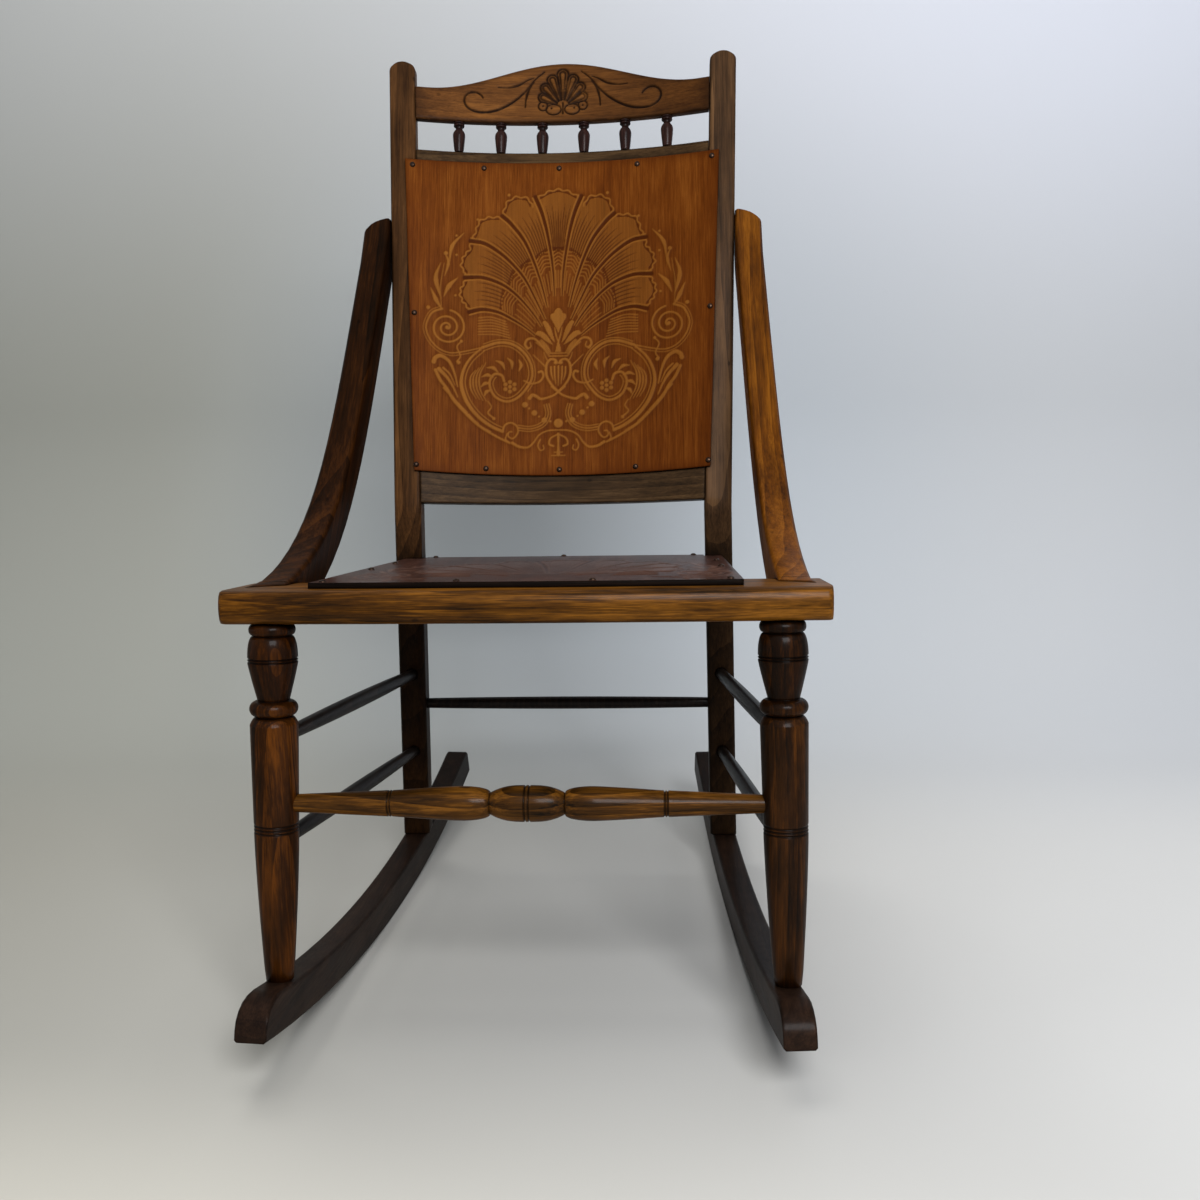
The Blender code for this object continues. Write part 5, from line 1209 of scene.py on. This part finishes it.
# Spindles: the Green layer is painted shade in their grooves and where they meet the rails
spindle_wood = wood(
    "spindle_wood", (56, 33, 27), (35, 20, 17), (18, 10, 9), GRAIN_BACK, (0.4, 0.3, 0.12), rings=60,
    edge=0.0006, coat=0.12, glow=0.4, lines=(("Green", (14, 8, 6), 0.8),),
)
for i in range(1, 7):
    node = f"back_spindle_{i}"
    start, end = node_axis(node, (0, 0, 1))
    start += (end - start).normalized() * SPINDLE_TENON
    name = f"turned_spindle_{i}"
    add_turned(name, node, start, end, SPINDLE_PROFILE, spindle_wood, SPINDLE_SIDES)

# Back panel: painted shade towards its right side and in its corners; the Blue layer is painted shade round
# the pressed lines and painted shadow and dirt along its edges
panel_ply = wood(
    "back_panel_ply", (128, 73, 24), (102, 52, 13), (72, 33, 7), GRAIN_BACK, (0.1, 0.42, 0.1), rings=14,
    ring_depth=0.06, fibre=0.9, streak=0.28, stain=0.3, corner_shade=0.25, wear=0.1, rim_dark=0.2, gloss=0.015,
    coat=0.0, nicks=0.0, shade_fade=("X", -0.02, 0.14, 0.76),
    lines=(("Blue", (76, 34, 6), 0.75), ("Green", (62, 26, 6), 0.85), ("Red", (148, 96, 38), 0.7)),
)
ply_edge = wood(
    "ply_edge_wood", (60, 34, 20), (38, 21, 13), (20, 11, 8), GRAIN_X, (0.1, 0.42, 0.1), rings=90,
)
back_pattern = pressed_pattern(draw_shell, draw_volutes, draw_scrolls, draw_urn)
# Painted shade in the field round the pressed lines
back_pattern.spread_shade_field(SHADE_FIELD_REACH, SHADE_FIELD_GAIN)
mesh = back_panel_mesh(back_pattern)
add_piece("pressed_back_panel", mesh, (panel_ply, ply_edge), ["back_panel"])

# Seat panel: less painted shade in its corners than most pieces
seat_ply = wood(
    "seat_panel_ply", (76, 50, 42), (54, 34, 28), (34, 20, 16), GRAIN_Y, (0.0, 0.2, 0.4), rings=16,
    ring_depth=0.1, stain=0.3, roughness=0.36, coat=0.12, corner_shade=0.4,
    lines=(("Green", (44, 26, 22), 0.6), ("Red", (112, 82, 68), 0.5)),
)
seat_edge = wood(
    "seat_edge_wood", (40, 25, 16), (22, 14, 9), (11, 7, 5), GRAIN_X, (0.1, 0.42, 0.1), rings=90,
)
mesh = seat_mesh(pressed_pattern(draw_shell, draw_volutes))
add_piece("pressed_seat_panel", mesh, (seat_ply, seat_edge), ["seat_panel"])

# Front rail: painted shade towards its left end
seat_wood = wood(
    "seat_rail_wood", (124, 78, 20), (72, 42, 8), (25, 14, 3), GRAIN_X, (0.24, 0.06, 0.21), rings=24,
    ring_depth=0.25, streak=0.35, fibre=1.1, stain=0.8, wear=0.6, coat=0.1, coat_roughness=0.2, fleck=0.2,
    glow=0.4, shade_fade=("X", 0.02, -0.26, 0.72),
)
add_planed(["seat_front_rail"], seat_wood)
frame_wood = wood(
    "seat_frame_wood", (80, 52, 30), (56, 36, 21), (32, 20, 13), GRAIN_Y, (0.1, 0.06, 0.3), rings=28,
)
add_planed(["seat_side_rail_left", "seat_side_rail_right", "seat_rear_rail"], frame_wood)

# The left arm's much darker wood is partly its darker varnish and partly painted shade; the right arm's is
# lit
arm_woods = {
    "left": wood(
        "arm_left_wood", (60, 32, 10), (33, 16, 5), (14, 7, 3), GRAIN_ARM, (0.33, 0.1, 0.22), rings=24,
        gloss=0.02, coat=0.0,
    ),
    "right": wood(
        "arm_right_wood", (124, 74, 18), (90, 49, 9), (44, 22, 6), GRAIN_ARM, (-0.12, 0.3, 0.22), rings=24,
        stain=0.75, rim_dark=0.7, glow=0.3,
    ),
}
for side, sign in SIDES.items():
    add_planed([f"arm_{side}"], arm_woods[side], sign)

LEG_COLOURS = {
    "left": ((92, 49, 9), (42, 20, 4), (12, 6, 2)),
    "right": ((76, 42, 11), (35, 18, 5), (11, 6, 3)),
}
for side, sign in SIDES.items():
    # Legs: painted shade at their tops under the seat, and in their grooves (Green)
    leg_wood = wood(
        f"leg_{side}_wood", *LEG_COLOURS[side], GRAIN_Z, (0.26 + 0.1 * sign, 0.31, 0.1), rings=40,
        stain=0.75, edge=0.0008, coat=0.08, glow=0.35, lines=(("Green", (12, 8, 6), 0.85),),
        shade_fade=("Z", 0.296, 0.33, 0.5),
    )
    top, foot = (Vector((sign * x, y, z)) for x, y, z in (LEG_TOP, LEG_FOOT))
    profile = leg_profile((foot - top).length)
    add_turned(f"turned_leg_{side}", f"front_leg_{side}", top, foot, profile, leg_wood)

# Front stretcher: the Green layer is painted shade in its grooves
turned_wood = wood(
    "front_stretcher_wood", (126, 80, 25), (67, 40, 10), (17, 10, 3), GRAIN_X, (0.52, 0.17, 0.4), rings=36,
    streak=0.35, stain=0.8, edge=0.0008, coat=0.11, glow=0.3, lines=(("Green", (14, 9, 6), 0.85),),
)
start, end = node_axis("front_stretcher", (1, 0, 0))
profile = stretcher_profile((end - start).length / 2 + STRETCHER_SHORT)
add_turned(
    "turned_front_stretcher", "front_stretcher", (start + end) / 2, end, profile, turned_wood,
)

stretcher_wood = wood(
    "stretcher_wood", (38, 28, 22), (22, 16, 13), (10, 8, 7), GRAIN_Y, (0.36, 0.2, 0.14), rings=40,
    edge=0.0008, coat=0.14, coat_roughness=0.2,
)
dowels = {
    f"side_stretcher_{level}_{side}": SIDE_STRETCHER for level in ("upper", "lower") for side in SIDES
}
dowels["rear_stretcher"] = REAR_STRETCHER
for name, radius in dowels.items():
    start, end = node_axis(name, (1, 1, 0))
    profile = dowel_profile((end - start).length, radius)
    add_turned(f"turned_{name}", name, start, end, profile, stretcher_wood, DOWEL_SIDES)

# Rockers: painted shade towards their back ends
rocker_wood = wood(
    "rocker_wood", (53, 36, 26), (36, 24, 17), (19, 12, 9), GRAIN_Y, (0.18, 0.4, 0.2), ring_depth=0.15,
    coat=0.05, shade_fade=("Y", 0.08, 0.3, 0.5),
)
add_planed(["rocker_left", "rocker_right"], rocker_wood)

tack_metal = bronze()
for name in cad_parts:
    if "_tack_" in name:
        start, end = node_axis(name, (0, -1, 0.2) if name.startswith("back") else (0, 0, 1))
        profile = tack_profile((end - start).length)
        add_turned(f"domed_{name}", name, start, end, profile, tack_metal, TACK_SIDES)


# Room, light and camera

FLOOR_FRONT = -3.5
WALL_Y = 1.05
WALL_ROUND = 0.55
WALL_TOP = 3.2
ROOM_HALF = 4.0


def room_paper():
    """Pale paper with painted shade: darker towards the left and low down, and bluish behind the chair. It
    can't be seen from behind.
    """
    made, g, shader = new_material("room_paper")
    place = g.place()
    axes = g.axes(place)
    # Painted light and shade: the room darker towards the left, and the wall lighter higher up
    painted_light_share = g.ramp(axes["X"], -0.9, 1.0)
    floor = g.mix(painted_light_share, srgb(162, 160, 151), srgb(218, 218, 217))
    front = g.mix(painted_light_share, srgb(208, 204, 191), srgb(207, 207, 206))
    low_wall = g.mix(painted_light_share, srgb(166, 167, 160), srgb(205, 208, 212))
    high_wall = g.mix(painted_light_share, srgb(184, 186, 186), srgb(232, 236, 248))
    colour = g.mix(g.ramp(axes["Y"], -0.25, -0.6), floor, front)
    colour = g.mix(g.ramp(axes["Y"], 0.1, 0.75), colour, low_wall)
    colour = g.mix(g.ramp(axes["Z"], 0.5, 1.4), colour, high_wall)
    # Bluish painted shade on the wall behind the chair
    away = g.vector("DISTANCE", {0: place, 1: (0.0, WALL_Y, 0.4)})["Value"]
    colour = g.mix(g.ramp(away, 0.95, 0.2, 0.0, 0.45), colour, srgb(180, 192, 206))
    g.fill(shader, {"Base Color": colour, "Roughness": 0.85, "Specular IOR Level": 0.15})
    clear = g.add("BsdfTransparent").outputs[0]
    behind = g.add("NewGeometry").outputs["Backfacing"]
    seen = g.add("MixShader", {0: behind, 1: shader.outputs[0], 2: clear}).outputs[0]
    g.fill(g.tree.nodes["Material Output"], {"Surface": seen})
    return made


def make_room():
    """Floor that curves up into a plain wall."""
    profile = [(FLOOR_FRONT, 0.0)]
    for turn in np.linspace(0, math.pi / 2, 25):
        profile.append((WALL_Y - WALL_ROUND * (1 - math.sin(turn)), WALL_ROUND * (1 - math.cos(turn))))
    profile.append((WALL_Y, WALL_TOP))
    verts = [(x, y, z) for y, z in profile for x in (-ROOM_HALF, ROOM_HALF)]
    faces = [(2 * i, 2 * i + 1, 2 * i + 3, 2 * i + 2) for i in range(len(profile) - 1)]
    mesh = bpy.data.meshes.new("room")
    mesh.from_pydata(verts, [], faces)
    mesh.shade_smooth()
    mesh.materials.append(room_paper())
    room = bpy.data.objects.new("room", mesh)
    bpy.context.scene.collection.objects.link(room)


def area_light(name, place, target, size, watts, colour):
    lamp = bpy.data.lights.new(name, "AREA")
    lamp.shape = "RECTANGLE"
    lamp.size, lamp.size_y = size
    lamp.energy = watts
    lamp.color = colour
    made = bpy.data.objects.new(name, lamp)
    made.location = place
    made.rotation_euler = (Vector(target) - Vector(place)).to_track_quat("-Z", "Y").to_euler()
    bpy.context.scene.collection.objects.link(made)
    return made


def light_room():
    """Three soft lamps, and air that looks pale to the camera and in gloss but gives little light."""
    area_light("window_light", (0.6, -2.1, 1.8), (0.0, 0.1, 0.5), (1.3, 1.0), 66, (0.98, 0.985, 1.0))
    ceiling = area_light(
        "ceiling_light", (-0.3, 0.2, 2.9), (0.0, 0.2, 0.0), (2.2, 1.6), 28, (1.0, 0.985, 0.95),
    )
    ceiling.visible_glossy = False
    fill = area_light("rear_light", (-0.7, 0.9, 2.1), (0.0, 0.3, 0.5), (1.2, 0.6), 9, (1.0, 0.99, 0.97))
    fill.visible_glossy = False
    fill.visible_camera = False
    world = bpy.data.worlds.new("room_air")
    world.use_nodes = True
    g = Graph(world.node_tree)
    air = world.node_tree.nodes["Background"]
    g.fill(air, {"Color": (0.92, 0.96, 1.0, 1), "Strength": 0.14})
    pale = g.add("Background", {"Color": srgb(196, 200, 204)})
    path = g.add("LightPath").outputs
    direct = g.math("MAXIMUM", path["Is Camera Ray"], path["Is Glossy Ray"])
    seen = g.add("MixShader", {0: direct, 1: air.outputs[0], 2: pale.outputs[0]}).outputs[0]
    g.fill(world.node_tree.nodes["World Output"], {"Surface": seen})
    bpy.context.scene.world = world


def place_camera():
    lens = bpy.data.cameras.new("photo_camera")
    lens.sensor_fit = "HORIZONTAL"
    lens.sensor_width = SENSOR
    lens.lens = LENS
    lens.clip_start = 0.01
    camera = bpy.data.objects.new("photo_camera", lens)
    right = LOOK.cross(UP).normalized()
    turn = Matrix((right, UP, -LOOK)).transposed()
    camera.matrix_world = Matrix.Translation(EYE) @ turn.to_4x4()
    bpy.context.scene.collection.objects.link(camera)
    bpy.context.scene.camera = camera


make_room()
light_room()
place_camera()
bpy.context.scene.view_settings.view_transform = "Standard"
